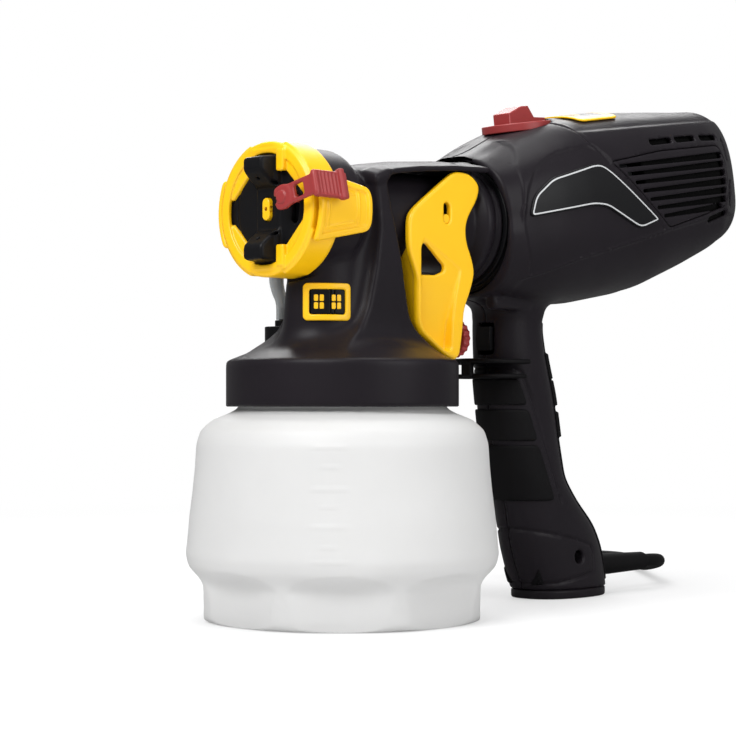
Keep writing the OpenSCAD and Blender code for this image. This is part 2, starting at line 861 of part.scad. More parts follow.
module width_disc() {
    x0 = -ring_front + 5.4;
    color(black)
        difference() {
            ring_x(x0, x0 + 1.8, 7.6, cap_show_r - 2.4);
            translate([x0 - 1, -peg_orbit * cos(lever_angle), axis_z + peg_orbit * sin(lever_angle)])
                rotate([0, 90, 0])
                    cylinder(h = 4, r = 1.8);
        }
}

// Lever: an arm over the cap's face, a shank round the ring and a thumb tab outside it
module width_lever() {
    arm_x = -ring_front - 3.2;
    arm_t = 2;
    reach = ring_r + grip_t + 7.4;
    color(red)
        translate([0, 0, axis_z])
            rotate([-lever_angle, 0, 0])
                mirror([0, 1, 0]) {
                    difference() {
                        translate([arm_x - arm_t, peg_orbit - 3, -lever_w / 2 + 1.5])
                            cube([arm_t, reach - peg_orbit + 3, lever_w - 3]);
                        translate([arm_x - arm_t - 1, peg_orbit + 8, -3])
                            cube([arm_t + 2, 4.5, 6]);
                    }
                    translate([arm_x - arm_t, reach - 2.4, -lever_w / 2])
                        cube([20, 2.4, lever_w]);
                    translate([arm_x + 12, reach - 1, -lever_w / 2 - 1])
                        cube([3, 3, lever_w + 2]);
                    translate([arm_x - 1, peg_orbit, 0])
                        rotate([0, 90, 0])
                            cylinder(h = -ring_front + 7 - arm_x + 1, r = 1.75);
                }
}

// Side fairing: a tapered plate outside the ring on a foot that sits on the barrel
module fairing(side) {
    outline = [
        [-ring_front + 2, axis_z - 16], [-ring_front + 2, axis_z + 15.5],
        [-16, axis_z + 9.5], [-14.5, axis_z + 6], [-14.5, axis_z - 7], [-16, axis_z - 10],
    ];
    color(yellow)
        mirror([0, side < 0 ? 1 : 0, 0])
            difference() {
                intersection() {
                    side_view(outline, 20, 50);
                    union() {
                        ring_x(-60, 0, fairing_in, fairing_in + fairing_t);
                        ring_x(ring_back_x + 2.5, -15.5, barrel_front_r + 0.06, fairing_in + 1);
                    }
                }
                if (side > 0)
                    translate([elbow[0], 20, elbow[2]])
                        rotate([-90, 0, 0])
                            cylinder(h = 20, r = 2.4);
            }
}

module fairing_left() { fairing(-1); }
module fairing_right() { fairing(1); }

module needle() {
    tip_x = -ring_front + 2.6;
    color(steel)
        difference() {
            turned_x([
                [tip_x, 0], [tip_x + 4, needle_r], [spring_chamber_x + gap, needle_r],
                [spring_chamber_x + gap, spring_chamber_r - 0.3],
                [spring_chamber_x + gap + needle_collar_t, spring_chamber_r - 0.3],
                [spring_chamber_x + gap + needle_collar_t, needle_r], [core_back_x - 0.8, needle_r],
                [core_back_x - 0.8, 0],
            ]);
            translate([cross_pin_x, -10, axis_z])
                rotate([-90, 0, 0])
                    cylinder(h = 20, r = 0.9);
        }
}

// Cross pin: thin through the needle, thick where the trigger's slots hold it
module cross_pin() {
    color(yellow)
        translate([cross_pin_x, 0, axis_z])
            rotate([-90, 0, 0]) {
                translate([0, 0, -core_r])
                    cylinder(h = 2 * core_r, r = 0.88);
                for (s = [0, 1])
                    mirror([0, 0, s])
                        translate([0, 0, needle_r + 0.4])
                            cylinder(h = cheek_out - 0.6 - needle_r - 0.4, r = cross_pin_r);
            }
}

// Helical spring between the needle's collar and the spring cap
module needle_spring() {
    x0 = spring_chamber_x + gap + needle_collar_t + 0.25;
    x1 = core_back_x - cap_len - 0.2;
    turns = 4;
    wire = 0.45;
    coil_r = spring_chamber_r - wire - 0.5;
    steps = turns * 12;
    route = [for (i = [0 : steps])
        let (a = 360 * i / 12, f = i / steps)
        [x0 + wire + f * (x1 - x0 - 2 * wire), coil_r * cos(a), axis_z + coil_r * sin(a)]];
    color(steel)
        swept_tube(route, wire, 6);
}

module needle_packing() {
    color(white)
        ring_x(chamber_back_x + 0.1, chamber_back_x + packing_len - 0.2, needle_r + fit, packing_r - 0.05);
}

module packing_nut() {
    color(brass)
        ring_x(chamber_back_x + packing_len, chamber_back_x + packing_len + nut_len, needle_r + 0.4,
               packing_r - 0.05);
}

module spring_cap() {
    color(brass)
        turned_x([
            [core_back_x - cap_len, needle_r + 0.3], [core_back_x + 3, needle_r + 0.3],
            [core_back_x + 3, core_r - 1], [core_back_x + 0.2, core_r - 1],
            [core_back_x + 0.2, spring_chamber_r - 0.05],
            [core_back_x - cap_len, spring_chamber_r - 0.05],
        ]);
}

// ---- trigger -------------------------------------------------------------

// Side view of a cheek
function cheek_outline() = [
    [47, axis_z + trigger_top], [56, axis_z + trigger_top], [61, axis_z + 20.5],
    [65, axis_z + 16.5], [63, axis_z + 10], [57, axis_z + 2], [55, axis_z - 3],
    [55.5, axis_z - 10], [60, axis_z - 19], [61.3, axis_z - 25], [58.5, axis_z - 33],
    [54, axis_z - 42], [53, axis_z - 52], [50.5, axis_z - 65.4], [43, axis_z - 64.4],
    [trigger_front + 2, axis_z - 54.5], [trigger_front, axis_z - 50],
    [trigger_front, axis_z - 12], [trigger_front - 9, axis_z - 4], [trigger_front - 8.5, axis_z + 1],
    [trigger_front - 4, axis_z + 5],
];

// Three-cornered window in each cheek
function window_outline() = [
    [trigger_front + 3.5, axis_z - 25.5], [trigger_front + 3.5, axis_z - 16],
    [trigger_front + 6, axis_z - 13], [trigger_front + 9, axis_z - 13.5],
    [trigger_front + 19, axis_z - 21], [trigger_front + 19, axis_z - 24],
    [trigger_front + 14, axis_z - 25.5],
];

module trigger() {
    web_top = axis_z - barrel_r - 3;
    color(yellow)
        difference() {
            union() {
                both_sides()
                    side_view(cheek_outline(), cheek_in, cheek_out);
                side_view([
                    [trigger_front, web_top], [trigger_front, axis_z - 50],
                    [trigger_front + 2, axis_z - 54.5], [43, axis_z - 64.4],
                    [50.5, axis_z - 65.4], [51, axis_z - 62.5], [44.5, axis_z - 61.8],
                    [trigger_front + 5, axis_z - 53], [trigger_front + trigger_t, axis_z - 49],
                    [trigger_front + trigger_t, web_top],
                ], -cheek_in - 0.1, cheek_in + 0.1);
                // Wall that carries the flow screw
                translate([50 - trigger_t, -cheek_in - 0.1, knob_z - 7])
                    cube([trigger_t, 2 * cheek_in + 0.2, 14]);
            }
            both_sides()
                side_view(window_outline(), cheek_in - 1, cheek_out + 1);
            // Slots for the cross pin, which climbs in them as the trigger is pulled
            for (z = [0, slot_len - 2 * cross_pin_r - 1])
                translate([cross_pin_x, -60, axis_z + z])
                    rotate([-90, 0, 0])
                        cylinder(h = 120, r = cross_pin_r + 0.25);
            translate([cross_pin_x - cross_pin_r - 0.25, -60, axis_z])
                cube([2 * cross_pin_r + 0.5, 120, slot_len - 2 * cross_pin_r - 1]);
            translate([pivot_x, -60, axis_z + pivot_rise])
                rotate([-90, 0, 0])
                    cylinder(h = 120, r = pivot_r + fit);
            translate([40, 0, knob_z])
                rotate([0, 90, 0])
                    cylinder(h = 20, r = 2.5 + fit);
        }
}

module pivot_pin() {
    color(steel)
        translate([pivot_x, -cheek_out + 0.4, axis_z + pivot_rise])
            rotate([-90, 0, 0])
                cylinder(h = 2 * cheek_out - 0.8, r = pivot_r);
}

// Knurled knob on its screw
module flow_knob() {
    screw_x = 40;
    color(red)
        translate([0, 0, knob_z]) {
            translate([knob_back - knob_t, 0, 0])
                rotate([0, 90, 0])
                    difference() {
                        cylinder(h = knob_t, r = knob_r);
                        for (k = [0 : 17])
                            rotate([0, 0, 20 * k])
                                translate([knob_r + 0.5, 0, -1])
                                    cylinder(h = knob_t + 2, r = 1.1, $fn = 16);
                    }
            translate([screw_x, 0, 0])
                rotate([0, 90, 0])
                    cylinder(h = knob_back - knob_t - screw_x + 0.1, r = 2.5);
            translate([52, 0, 0])
                rotate([0, 90, 0])
                    cylinder(h = knob_back - knob_t - 52 + 0.1, r = 4.5);
        }
}

// ---- vent valve and hose --------------------------------------------------

hose_route = [
    elbow + [7.8, 0, 0], elbow + [11, 0, 0], elbow + [14.5, 0, 0], elbow + [19, 0, -0.6],
    elbow + [23, -0.1, -3], elbow + [25, -0.2, -7], elbow + [25.2, -0.3, -12],
    elbow + [23.5, -0.5, -18], elbow + [20.6, -0.8, -24.5], elbow + [18, -1, -31],
    [valve_xy[0] - 0.6, valve_xy[1], barb_z + 8.5], [valve_xy[0], valve_xy[1], barb_z + 3],
    [valve_xy[0], valve_xy[1], barb_z - 1], [valve_xy[0], valve_xy[1], valve_top_z + 3.4],
];

module air_hose() {
    color(clear)
        swept_hose(hose_route, hose_r, hose_bore_r, 12);
}

// Elbow on the barrel's side: a post, a block and a barb inside the hose
module hose_elbow() {
    color(black) {
        translate([elbow[0], barrel_front_r - 1, elbow[2]])
            rotate([-90, 0, 0])
                cylinder(h = elbow[1] - barrel_front_r + 1, r = 1.96);
        translate([elbow[0] - 3.4, elbow[1] - 3.2, elbow[2] - 3.2])
            cube([6.8, 6.4, 6.4]);
        translate([elbow[0] + 3.3, elbow[1], elbow[2]])
            rotate([0, 90, 0])
                cylinder(h = 4.4, r = 2.9);
        translate([elbow[0] + 3.3, elbow[1], elbow[2]])
            rotate([0, 90, 0])
                cylinder(h = 11, r = hose_bore_r - 0.3);
    }
}

module valve_housing() {
    color(black)
        difference() {
            translate([valve_xy[0], valve_xy[1], 0])
                difference() {
                    union() {
                        translate([0, 0, lid_top_z])
                            cylinder(h = valve_base_z - lid_top_z + 1.5, r = valve_r);
                        translate([0, 0, valve_base_z + 0.5])
                            cylinder(h = 4, r = valve_r - 2.4);
                    }
                    translate([0, 0, valve_base_z - 2])
                        cylinder(h = 20, r = valve_r - 4);
                }
            rotate_extrude()
                polygon(dome_outline(0.08));
        }
}

module valve_membrane() {
    color(white)
        translate([valve_xy[0], valve_xy[1], valve_base_z + 4.6])
            cylinder(h = 1, r = valve_r - 2.8);
}

// Cap of the vent valve with the barb for the hose on top
module valve_cap() {
    color(black)
        translate([valve_xy[0], valve_xy[1], 0])
            difference() {
                union() {
                    translate([0, 0, valve_base_z + 1.8])
                        cylinder(h = valve_top_z - valve_base_z - 1.8, r = valve_r);
                    translate([0, 0, valve_top_z - 0.5])
                        cylinder(h = 3.6, r = 3.6);
                    translate([0, 0, valve_top_z])
                        cylinder(h = 9, r = hose_bore_r - 0.35);
                }
                translate([0, 0, valve_base_z])
                    cylinder(h = 5.8, r = valve_r - 2.2);
                cylinder(h = valve_top_z + 20, r = 0.8);
            }
}

// Curved plate on the round front of the column, between two heights and two radii
module column_plate(half_w, z0, z1, r0, r1) {
    centre_x = -column_front + column_half_w;
    translate([centre_x, 0, 0])
        intersection() {
            translate([0, 0, z0])
                difference() {
                    cylinder(h = z1 - z0, r = column_half_w + r1);
                    translate([0, 0, -1])
                        cylinder(h = z1 - z0 + 2, r = column_half_w + r0);
                }
            rotate([0, 0, 237])
                translate([0, -half_w, z0 - 5])
                    cube([60, 2 * half_w, z1 - z0 + 10]);
        }
}

label_z = axis_z - 41;

module label_frame() {
    color(yellow)
        difference() {
            column_plate(11.5, label_z - 8.5, label_z + 8.5, 0.08, 0.9);
            column_plate(8, label_z - 5.6, label_z + 5.6, -1, 2);
        }
}

module label_panel() {
    color(black)
        column_plate(7.9, label_z - 5.5, label_z + 5.5, 0.08, 0.5);
}

// ---- coupling ------------------------------------------------------------

module coupling_seal() {
    color(red)
        ring_x(spigot_end_x - 8, spigot_end_x - 5, spigot_r - 1.95, spigot_r - 0.1);
}

// Stepped ring in the nose of the turbine housing that takes the spigot
module mouth_ring() {
    bore = spigot_r + fit;
    lip_r = duct_r + 2.96;
    color(black)
        turned_x([
            [coupling_x + 0.3, bore], [coupling_x + 0.3, mouth_r - 2],
            [coupling_x + 3, mouth_r - 2], [coupling_x + 3, mouth_r], [spigot_end_x + 4, mouth_r],
            [spigot_end_x + 4, lip_r], [spigot_end_x + 1, lip_r],
            [spigot_end_x + 1, bore],
        ]);
}

// ---- housing and handle shells --------------------------------------------

module screw_bosses() {
    in_housing()
        for (p = housing_screws)
            translate([p[0], -60, p[1]])
                rotate([-90, 0, 0])
                    cylinder(h = 120, r = boss_r, $fn = 20);
    for (p = concat(handle_screws, [foot_screw]))
        translate([p[0], -60, p[1]])
            rotate([-90, 0, 0])
                cylinder(h = 120, r = boss_r, $fn = 20);
}

// Hole for one screw whose head faces +Y
module screw_hole() {
    rotate([-90, 0, 0]) {
        translate([0, 0, counterbore_y])
            cylinder(h = 60, r = screw_head_r + 0.4, $fn = 20);
        translate([0, 0, -10])
            cylinder(h = 60, r = screw_r + 0.12, $fn = 20);
    }
}

module screw_holes() {
    in_housing()
        for (p = housing_screws)
            translate([p[0], 0, p[1]])
                screw_hole();
    for (p = handle_screws)
        translate([p[0], 0, p[1]])
            screw_hole();
    translate([foot_screw[0], 0, foot_screw[1]])
        mirror([0, 1, 0])
            screw_hole();
}

// Everything that is cut out of both shells
module shell_cuts() {
    rod_x(coupling_x - 30, spigot_end_x + 4.3, mouth_r + gap);
    in_housing() {
        // Openings behind the filter covers
        both_sides()
            side_view(cover_outline, housing_half_w * 0.4, housing_half_w + 10);
        // Seat and hole of the power selector
        translate([selector_s, 0, selector_seat])
            cylinder(h = 30, r = selector_r + gap);
        translate([selector_s, 0, 0])
            cylinder(h = housing_top, r = selector_shaft_r + gap, $fn = 32);
    }
    // Window of the power switch
    translate([80, -switch_w / 2 - gap, axis_z - 54 - switch_h / 2 - gap])
        cube([24, switch_w + 2 * gap, switch_h + 2 * gap]);
    // Way out for the lead
    translate([foot_back - 14, 0, relief_z])
        rotate([0, 90, 0])
            cylinder(h = 30, r = relief_r - 1.2 + gap, $fn = 24);
    screw_holes();
}

module shells() {
    difference() {
        union() {
            difference() {
                union() {
                    housing_form(0);
                    handle_form(0);
                }
                housing_form(shell_wall);
                handle_form(shell_wall);
            }
            difference() {
                translate([86, -14.5, axis_z - 37])
                    rotate([0, 90, 0])
                        cylinder(h = 26, r = 3.4, $fn = 24);
                handle_form(shell_wall);
            }
            intersection() {
                screw_bosses();
                union() {
                    housing_form(1);
                    handle_form(1);
                }
            }
        }
        shell_cuts();
    }
}

module shell_left() {
    color(charcoal)
        intersection() {
            shells();
            translate([0, -200, -50])
                cube([400, 200, 400]);
        }
}

module shell_right() {
    color(charcoal)
        intersection() {
            shells();
            translate([0, 0, -50])
                cube([400, 200, 400]);
        }
}

// Strip down the back of the handle with three raised pads
module spine_strip() {
    color(black)
        difference() {
            intersection() {
                union() {
                    translate([0.9, 0, 0])
                        handle_form(0, 3, 8);
                    for (k = [0 : 2])
                        intersection() {
                            translate([2.2, 0, 0])
                                handle_form(0, 3, 6);
                            translate([80, -7, axis_z - 66 - 16 * k - 13])
                                cube([120, 14, 13]);
                        }
                }
                translate([125, -8, 0])
                    cube([80, 16, 400]);
            }
            handle_form(-0.1);
        }
}

// Three soft pads round the front of the grip
module grip_pads() {
    heights = [[axis_z - 87, axis_z - 75], [axis_z - 102.5, axis_z - 88.5], [axis_z - 133, axis_z - 104]];
    color(black)
        difference() {
            for (h = heights)
                intersection() {
                    translate([-pad_t, 0, 0])
                        handle_form(-0.6, 3, 8);
                    translate([60, -40, h[0]])
                        cube([64 + (axis_z - 60 - h[1]) * grip_lean, 80, h[1] - h[0]]);
                }
            handle_form(-0.1);
        }
}

// Flat base under the foot
module foot_base() {
    row = handle_rows[len(handle_rows) - 1];
    color(black)
        linear_extrude(base_h - 0.02)
            polygon([for (p = rounded(foot_half_w, foot_len / 2, foot_len / 2, 48, grip_roundness))
                [p[1] + foot_x, p[0]]]);
}

// Thin plate that follows the side of the housing inside an outline
module side_skin(outline, side, low, high) {
    intersection() {
        difference() {
            housing_form(-high);
            housing_form(-low);
        }
        in_housing()
            mirror([0, side < 0 ? 1 : 0, 0])
                side_view(outline, housing_half_w * 0.4, housing_half_w + 10);
    }
}

module badge_left() {
    color(black)
        side_skin(badge_outline, -1, 0.05, 0.55);
}

module badge_right() {
    color(black)
        side_skin(badge_outline, 1, 0.05, 0.55);
}

module top_plate() {
    color(yellow)
        intersection() {
            difference() {
                housing_form(-0.6);
                housing_form(-0.05);
            }
            in_housing()
                translate([selector_s + selector_r + 4, -13, 20])
                    cube([30, 26, 60]);
        }
}

// Removable cover over each air filter, with open louvres
module cover(side) {
    middle = 122 * stretch;
    inner = [for (p = cover_outline) [middle + (p[0] - middle) * 0.985, 8 + (p[1] - 8) * 0.98]];
    difference() {
        side_skin(inner, side, -shell_wall, 0);
        in_housing()
            mirror([0, side < 0 ? 1 : 0, 0])
                for (k = [0 : louvres - 1]) {
                    z = -4.5 + 4.2 * k;
                    translate([98 * stretch - z * 0.9, 10, z])
                        cube([70 * stretch + z * 0.9, 60, louvre_h]);
                }
    }
}

module cover_left() { color(charcoal) cover(-1); }
module cover_right() { color(charcoal) cover(1); }

module filter_pad(side) {
    color(black)
        intersection() {
            housing_form(shell_wall + gap);
            in_housing()
                mirror([0, side < 0 ? 1 : 0, 0])
                    translate([casing_start + casing_len + 2, housing_half_w - 12, -6])
                        cube([56, 20, 28]);
        }
}

module filter_left() { filter_pad(-1); }
module filter_right() { filter_pad(1); }

// Two thin rests for the fingers round the front of the grip, joined at their tip
module finger_rest() {
    color(black)
        difference() {
            intersection() {
                union() {
                    translate([60, -30, axis_z - 66])
                        cube([60, 60, 2.4]);
                    translate([60, -30, axis_z - 74])
                        cube([60, 60, 2.4]);
                    translate([84, -3, axis_z - 73])
                        cube([3.5, 6, 8]);
                }
                translate([114, 0, 0])
                    cylinder(h = axis_z, r = 30);
                translate([104, 0, 0])
                    cylinder(h = axis_z, r = 22);
                translate([60, -40, 0])
                    cube([49, 80, axis_z]);
            }
            handle_form(-0.1, 2, 5);
        }
}

// ---- motor and fans --------------------------------------------------------

module air_duct() {
    color(black)
        difference() {
            in_housing()
                housing_ring(8, casing_start - 0.1, duct_r - 1.5, duct_r + 1.5);
            rod_x(coupling_x - 30, spigot_end_x + 4.05, 60);
        }
}

module turbine_casing() {
    s1 = casing_start + casing_len;
    color("#3a3a3e")
        in_housing()
            difference() {
                housing_ring(casing_start, s1, 0, casing_r);
                housing_ring(casing_start + casing_wall, s1 - casing_wall, 0,
                             casing_r - casing_wall);
                housing_ring(casing_start - 1, casing_start + casing_wall + 1, 0, duct_r - 1.5);
                housing_ring(s1 - casing_wall - 1, s1 + 1, 0, bearing_r + 6);
            }
}

module impeller_set() {
    pitch = (casing_len - 2 * casing_wall) / impellers;
    color(steel)
        in_housing()
            for (k = [0 : impellers - 1])
                translate([casing_start + casing_wall + 4 + k * pitch, 0, 0]) {
                    housing_ring(0, 1.2, shaft_r + 0.02, casing_r - 5);
                    housing_ring(0.5, 9, shaft_r + 0.02, shaft_r + 4);
                    for (b = [0 : blades - 1])
                        rotate([360 * (b + 0.3) / blades, 0, 0])
                            translate([0.7, -0.5, shaft_r + 3.3])
                                cube([7.6, 1, casing_r - 9.3 - shaft_r]);
                }
}

module motor_shaft() {
    color(steel)
        in_housing()
            translate([casing_start + casing_wall + 2, 0, 0])
                rotate([0, 90, 0])
                    cylinder(h = motor_end - casing_start + 4, r = shaft_r);
}

module motor_can() {
    color(steel)
        in_housing()
            difference() {
                housing_ring(motor_start, motor_end, 0, motor_r);
                housing_ring(motor_start + 1.5, motor_end - 1.5, 0, motor_r - 1.5);
                housing_ring(motor_start - 1, motor_end + 1, 0, bearing_r + 0.1);
            }
}

module motor_bearings() {
    color(steel)
        in_housing()
            for (s = [motor_start - 1.5, motor_end - bearing_len + 1.5])
                housing_ring(s, s + bearing_len, shaft_r + fit, bearing_r);
}

// Rubber ring that holds the motor behind the casing, and the cup round its back end
module motor_damper() {
    s1 = casing_start + casing_len;
    color(black)
        in_housing() {
            housing_ring(s1 + 0.1, motor_start - 0.1, bearing_r + 7, motor_r - 1);
            housing_ring(motor_end - 12, motor_end - 4, motor_r + 0.1, motor_r + damper_t);
        }
}

// Power selector: a disc with a finned grip, on its own shaft
module selector() {
    color(red)
        in_housing()
            translate([selector_s, 0, selector_seat + 0.3]) {
                cylinder(h = selector_t, r = selector_r);
                intersection() {
                    translate([0, 0, selector_t - 0.5])
                        cylinder(h = 30, r = selector_r);
                    side_view([
                        [-selector_r * 0.62, 0], [-selector_r * 0.62, selector_t + selector_grip - 3],
                        [-1, selector_t + selector_grip], [4, selector_t + selector_grip],
                        [8, selector_t + 2.6], [selector_r, selector_t + 2], [selector_r, 0],
                    ], -5.5, 5.5);
                }
                translate([0, 0, -selector_shaft_len])
                    cylinder(h = selector_shaft_len + 0.1, r = selector_shaft_r);
            }
}

switch_axis_x = 105;
switch_axis_z = axis_z - 54;

// Rocker in the front of the grip
module power_switch() {
    front = switch_axis_x - 7.6;
    color("#4a4a4d")
        difference() {
            side_view([
                [front, switch_axis_z - switch_h / 2 + 1.5], [front - 0.8, switch_axis_z],
                [front, switch_axis_z + switch_h / 2 - 1.5], [switch_axis_x + 4, switch_axis_z + 4],
                [switch_axis_x + 4, switch_axis_z - 4],
            ], -switch_w / 2, switch_w / 2);
            translate([switch_axis_x, -20, switch_axis_z])
                rotate([-90, 0, 0])
                    cylinder(h = 40, r = 1.5 + fit);
        }
}

// Switch body behind the rocker, with the rocker's pin across its two ears
module switch_body() {
    color(black) {
        translate([switch_axis_x + 6, -switch_w / 2 - 2, switch_axis_z - 9])
            cube([12, switch_w + 4, 18]);
        both_sides()
            translate([switch_axis_x - 2, switch_w / 2 + 0.5, switch_axis_z - 4])
                cube([8.2, 1.6, 8]);
        translate([switch_axis_x, -switch_w / 2 - 1, switch_axis_z])
            rotate([-90, 0, 0])
                cylinder(h = switch_w + 2, r = 1.5);
    }
}

module screw() {
    rotate([-90, 0, 0]) {
        translate([0, 0, counterbore_y - screw_len])
            cylinder(h = screw_len, r = screw_r);
        difference() {
            translate([0, 0, counterbore_y])
                cylinder(h = screw_head_t, r = screw_head_r);
            for (a = [0, 90])
                rotate([0, 0, a])
                    translate([-1.8, -0.4, counterbore_y + screw_head_t - 1])
                        cube([3.6, 0.8, 2]);
        }
    }
}

module shell_screws() {
    color(steel) {
        in_housing()
            for (p = housing_screws)
                translate([p[0], 0, p[1]])
                    screw();
        for (p = handle_screws)
            translate([p[0], 0, p[1]])
                screw();
        translate([foot_screw[0], 0, foot_screw[1]])
            mirror([0, 1, 0])
                screw();
    }
}

// ---- lead ------------------------------------------------------------------

lead_route = [
    [foot_back - 14, 0, relief_z], [foot_back - 16, 0, relief_z], [foot_back - 20, 0, relief_z + 1.6],
    [foot_back - 24.5, 0, relief_z + 6], [foot_back - 28, 0, relief_z + 13],
    [foot_back - 31.5, 0, relief_z + 23], [foot_back - 36, 0, relief_z + 33], [144, 0, 58],
    [140, 0, 69], [137, 0, 80], [135, 0, 92], [131, 0, 102], [124, 0, 108.5], [117, 0, 112],
    [113, 0, 115.5], [112, 0, 119], [112, 0, 121.7],
];

module inner_lead() {
    color(black)
        swept_tube(lead_route, cord_r - 0.5, 8);
}

// Tapered strain relief, held in the foot's back wall
module strain_relief() {
    color(black)
        translate([foot_back - 14 + gap, 0, relief_z])
            rotate([0, 90, 0]) {
                cylinder(h = 14 + relief_len - gap, r = relief_r - 1.2);
                translate([0, 0, 5])
                    cylinder(h = 3, r = relief_r + 1);
                translate([0, 0, 14.8])
                    cylinder(h = relief_len - 2, r1 = relief_r, r2 = relief_r - 1);
            }
}

module cord() {
    color(black)
        swept_tube(cord_route, cord_r, 10);
}

module at_plug() {
    translate(cord_route[len(cord_route) - 1])
        rotate([0, 0, plug_dir])
            children();
}

module plug_body() {
    color(black)
        at_plug() {
            hull() {
                translate([plug_len, -plug_w / 2 + 3, -plug_t / 2 + 3])
                    rotate([0, -90, 0])
                        cylinder(h = plug_len - 12, r = 3, $fn = hull_fn);
                translate([plug_len, plug_w / 2 - 3, -plug_t / 2 + 3])
                    rotate([0, -90, 0])
                        cylinder(h = plug_len - 12, r = 3, $fn = hull_fn);
                translate([plug_len, -plug_w / 2 + 3, plug_t / 2 - 3])
                    rotate([0, -90, 0])
                        cylinder(h = plug_len - 12, r = 3, $fn = hull_fn);
                translate([plug_len, plug_w / 2 - 3, plug_t / 2 - 3])
                    rotate([0, -90, 0])
                        cylinder(h = plug_len - 12, r = 3, $fn = hull_fn);
            }
            rotate([0, 90, 0])
                cylinder(h = 14, r1 = cord_r + 1, r2 = 8);
        }
}

module plug_blades() {
    color(brass)
        at_plug()
            for (s = [-1, 1])
                translate([plug_len + 0.05, s * 6.35 - 0.75, -3.15])
                    cube([17, 1.5, 6.3]);
}

container();
container_gasket();
front_housing();
suction_tube();
suction_seal();
fluid_nozzle();
nozzle_seal();
nozzle_ring();
air_cap();
width_disc();
width_lever();
fairing_left();
fairing_right();
needle();
cross_pin();
needle_spring();
needle_packing();
packing_nut();
spring_cap();
trigger();
pivot_pin();
flow_knob();
air_hose();
hose_elbow();
valve_housing();
valve_cap();
valve_membrane();
label_frame();
label_panel();
coupling_seal();
mouth_ring();
shell_left();
shell_right();
spine_strip();
grip_pads();
foot_base();
badge_left();
badge_right();
top_plate();
selector();
finger_rest();
power_switch();
switch_body();
cover_left();
cover_right();
filter_left();
filter_right();
air_duct();
turbine_casing();
impeller_set();
motor_shaft();
motor_can();
motor_bearings();
motor_damper();
shell_screws();
inner_lead();
strain_relief();
cord();
plug_body();
plug_blades();
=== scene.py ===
# %% [markdown]
# # A handheld paint sprayer
# The construction model comes in as a fixed frame: every piece at its real place, in metres, with its joints. This
# script finishes it, piece by piece, with surfaces worked out in numpy and with materials made of nodes.

import json
import math

import bmesh
import bpy
import numpy as np
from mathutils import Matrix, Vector


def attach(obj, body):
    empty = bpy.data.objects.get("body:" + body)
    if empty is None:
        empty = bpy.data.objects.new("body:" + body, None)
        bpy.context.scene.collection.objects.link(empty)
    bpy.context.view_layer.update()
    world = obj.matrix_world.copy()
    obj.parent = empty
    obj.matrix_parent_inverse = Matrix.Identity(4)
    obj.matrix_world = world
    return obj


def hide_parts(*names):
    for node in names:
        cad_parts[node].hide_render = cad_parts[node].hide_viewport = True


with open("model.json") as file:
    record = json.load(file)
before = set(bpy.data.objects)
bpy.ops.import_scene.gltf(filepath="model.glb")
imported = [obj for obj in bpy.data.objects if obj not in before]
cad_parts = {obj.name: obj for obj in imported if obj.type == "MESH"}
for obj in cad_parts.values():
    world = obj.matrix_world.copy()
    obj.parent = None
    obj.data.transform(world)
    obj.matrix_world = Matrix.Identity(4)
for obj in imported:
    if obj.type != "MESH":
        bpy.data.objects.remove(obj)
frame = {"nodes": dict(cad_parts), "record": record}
nodes = frame["nodes"]
body_of = {node: body for body, members in frame["record"]["behaviour"]["bodies"].items() for node in members}
slot_of = {part["node"]: part["material_slot"] for part in frame["record"]["subparts"]}
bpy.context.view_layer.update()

# %% [markdown]
# The camera stands level, low in front of the spray head and a little to its left, with a long lens, so that upright
# edges stay parallel. The lens is shifted and not tilted, as on a studio camera.

# %% The camera
def put(name, data):
    """A new object of the scene that holds the given data."""
    made = bpy.data.objects.new(name, data)
    bpy.context.scene.collection.objects.link(made)
    return made


DIAGONAL = math.sqrt(0.5)
camera_data = bpy.data.cameras.new("studio_camera")
camera_data.sensor_width = 36.0
camera_data.lens = 97.1
camera_data.shift_y = 38 / 736
camera_data.clip_end = 50
camera = put("studio_camera", camera_data)
camera.location = (-0.6387, -0.6553, 0.0976)
camera.rotation_euler = Vector((DIAGONAL, DIAGONAL, 0)).to_track_quat("-Z", "Y").to_euler()
bpy.context.scene.camera = camera
bpy.context.scene.view_settings.view_transform = "Standard"

# %% [markdown]
# Turned and cut parts have their right shapes already. Such a part is a copy of its construction mesh with its corners
# merged, flat parts kept flat and round parts shaded round, and its sharp edges broken with a small bevel, as on real
# parts. The plug on the lead is made this way first.

# %% Copies with broken edges
def with_broken_edges(name, width):
    """A copy of one construction node, its edges rounded to `width` millimetres; 0 leaves them sharp."""
    mesh = nodes[name].data.copy()
    net = bmesh.new()
    net.from_mesh(mesh)
    bmesh.ops.remove_doubles(net, verts=net.verts, dist=1e-6)
    bmesh.ops.dissolve_limit(net, angle_limit=math.radians(0.5), verts=net.verts, edges=net.edges)
    for face in net.faces:
        face.smooth = True
    for line in net.edges:
        line.smooth = len(line.link_faces) == 2 and line.calc_face_angle(0) < math.radians(32)
    net.to_mesh(mesh)
    net.free()
    made = put(name + "_finished", mesh)
    if width:
        bevel = made.modifiers.new("broken_edges", "BEVEL")
        bevel.width = width / 1000
        bevel.segments = 2
        bevel.limit_method = "ANGLE"
        bevel.angle_limit = math.radians(40)
    return made


plug_pieces = {"plug_body": with_broken_edges("plug_body", 0.6), "plug_blades": with_broken_edges("plug_blades", 0.2)}

# %% [markdown]
# The lead is a round flexible cable. It leaves the strain relief at the foot of the handle, comes down to the table in
# a few diameters, and turns back on itself behind the handle, where its plug lies flat. A short lead like this one is
# plugged into an extension lead. A curve with a round bevel follows the same points as the construction model.

# %% The lead
def metres(*numbers):
    """Points given in millimetres, as an array of points in metres."""
    return np.array(numbers, float).reshape(-1, 3) / 1000


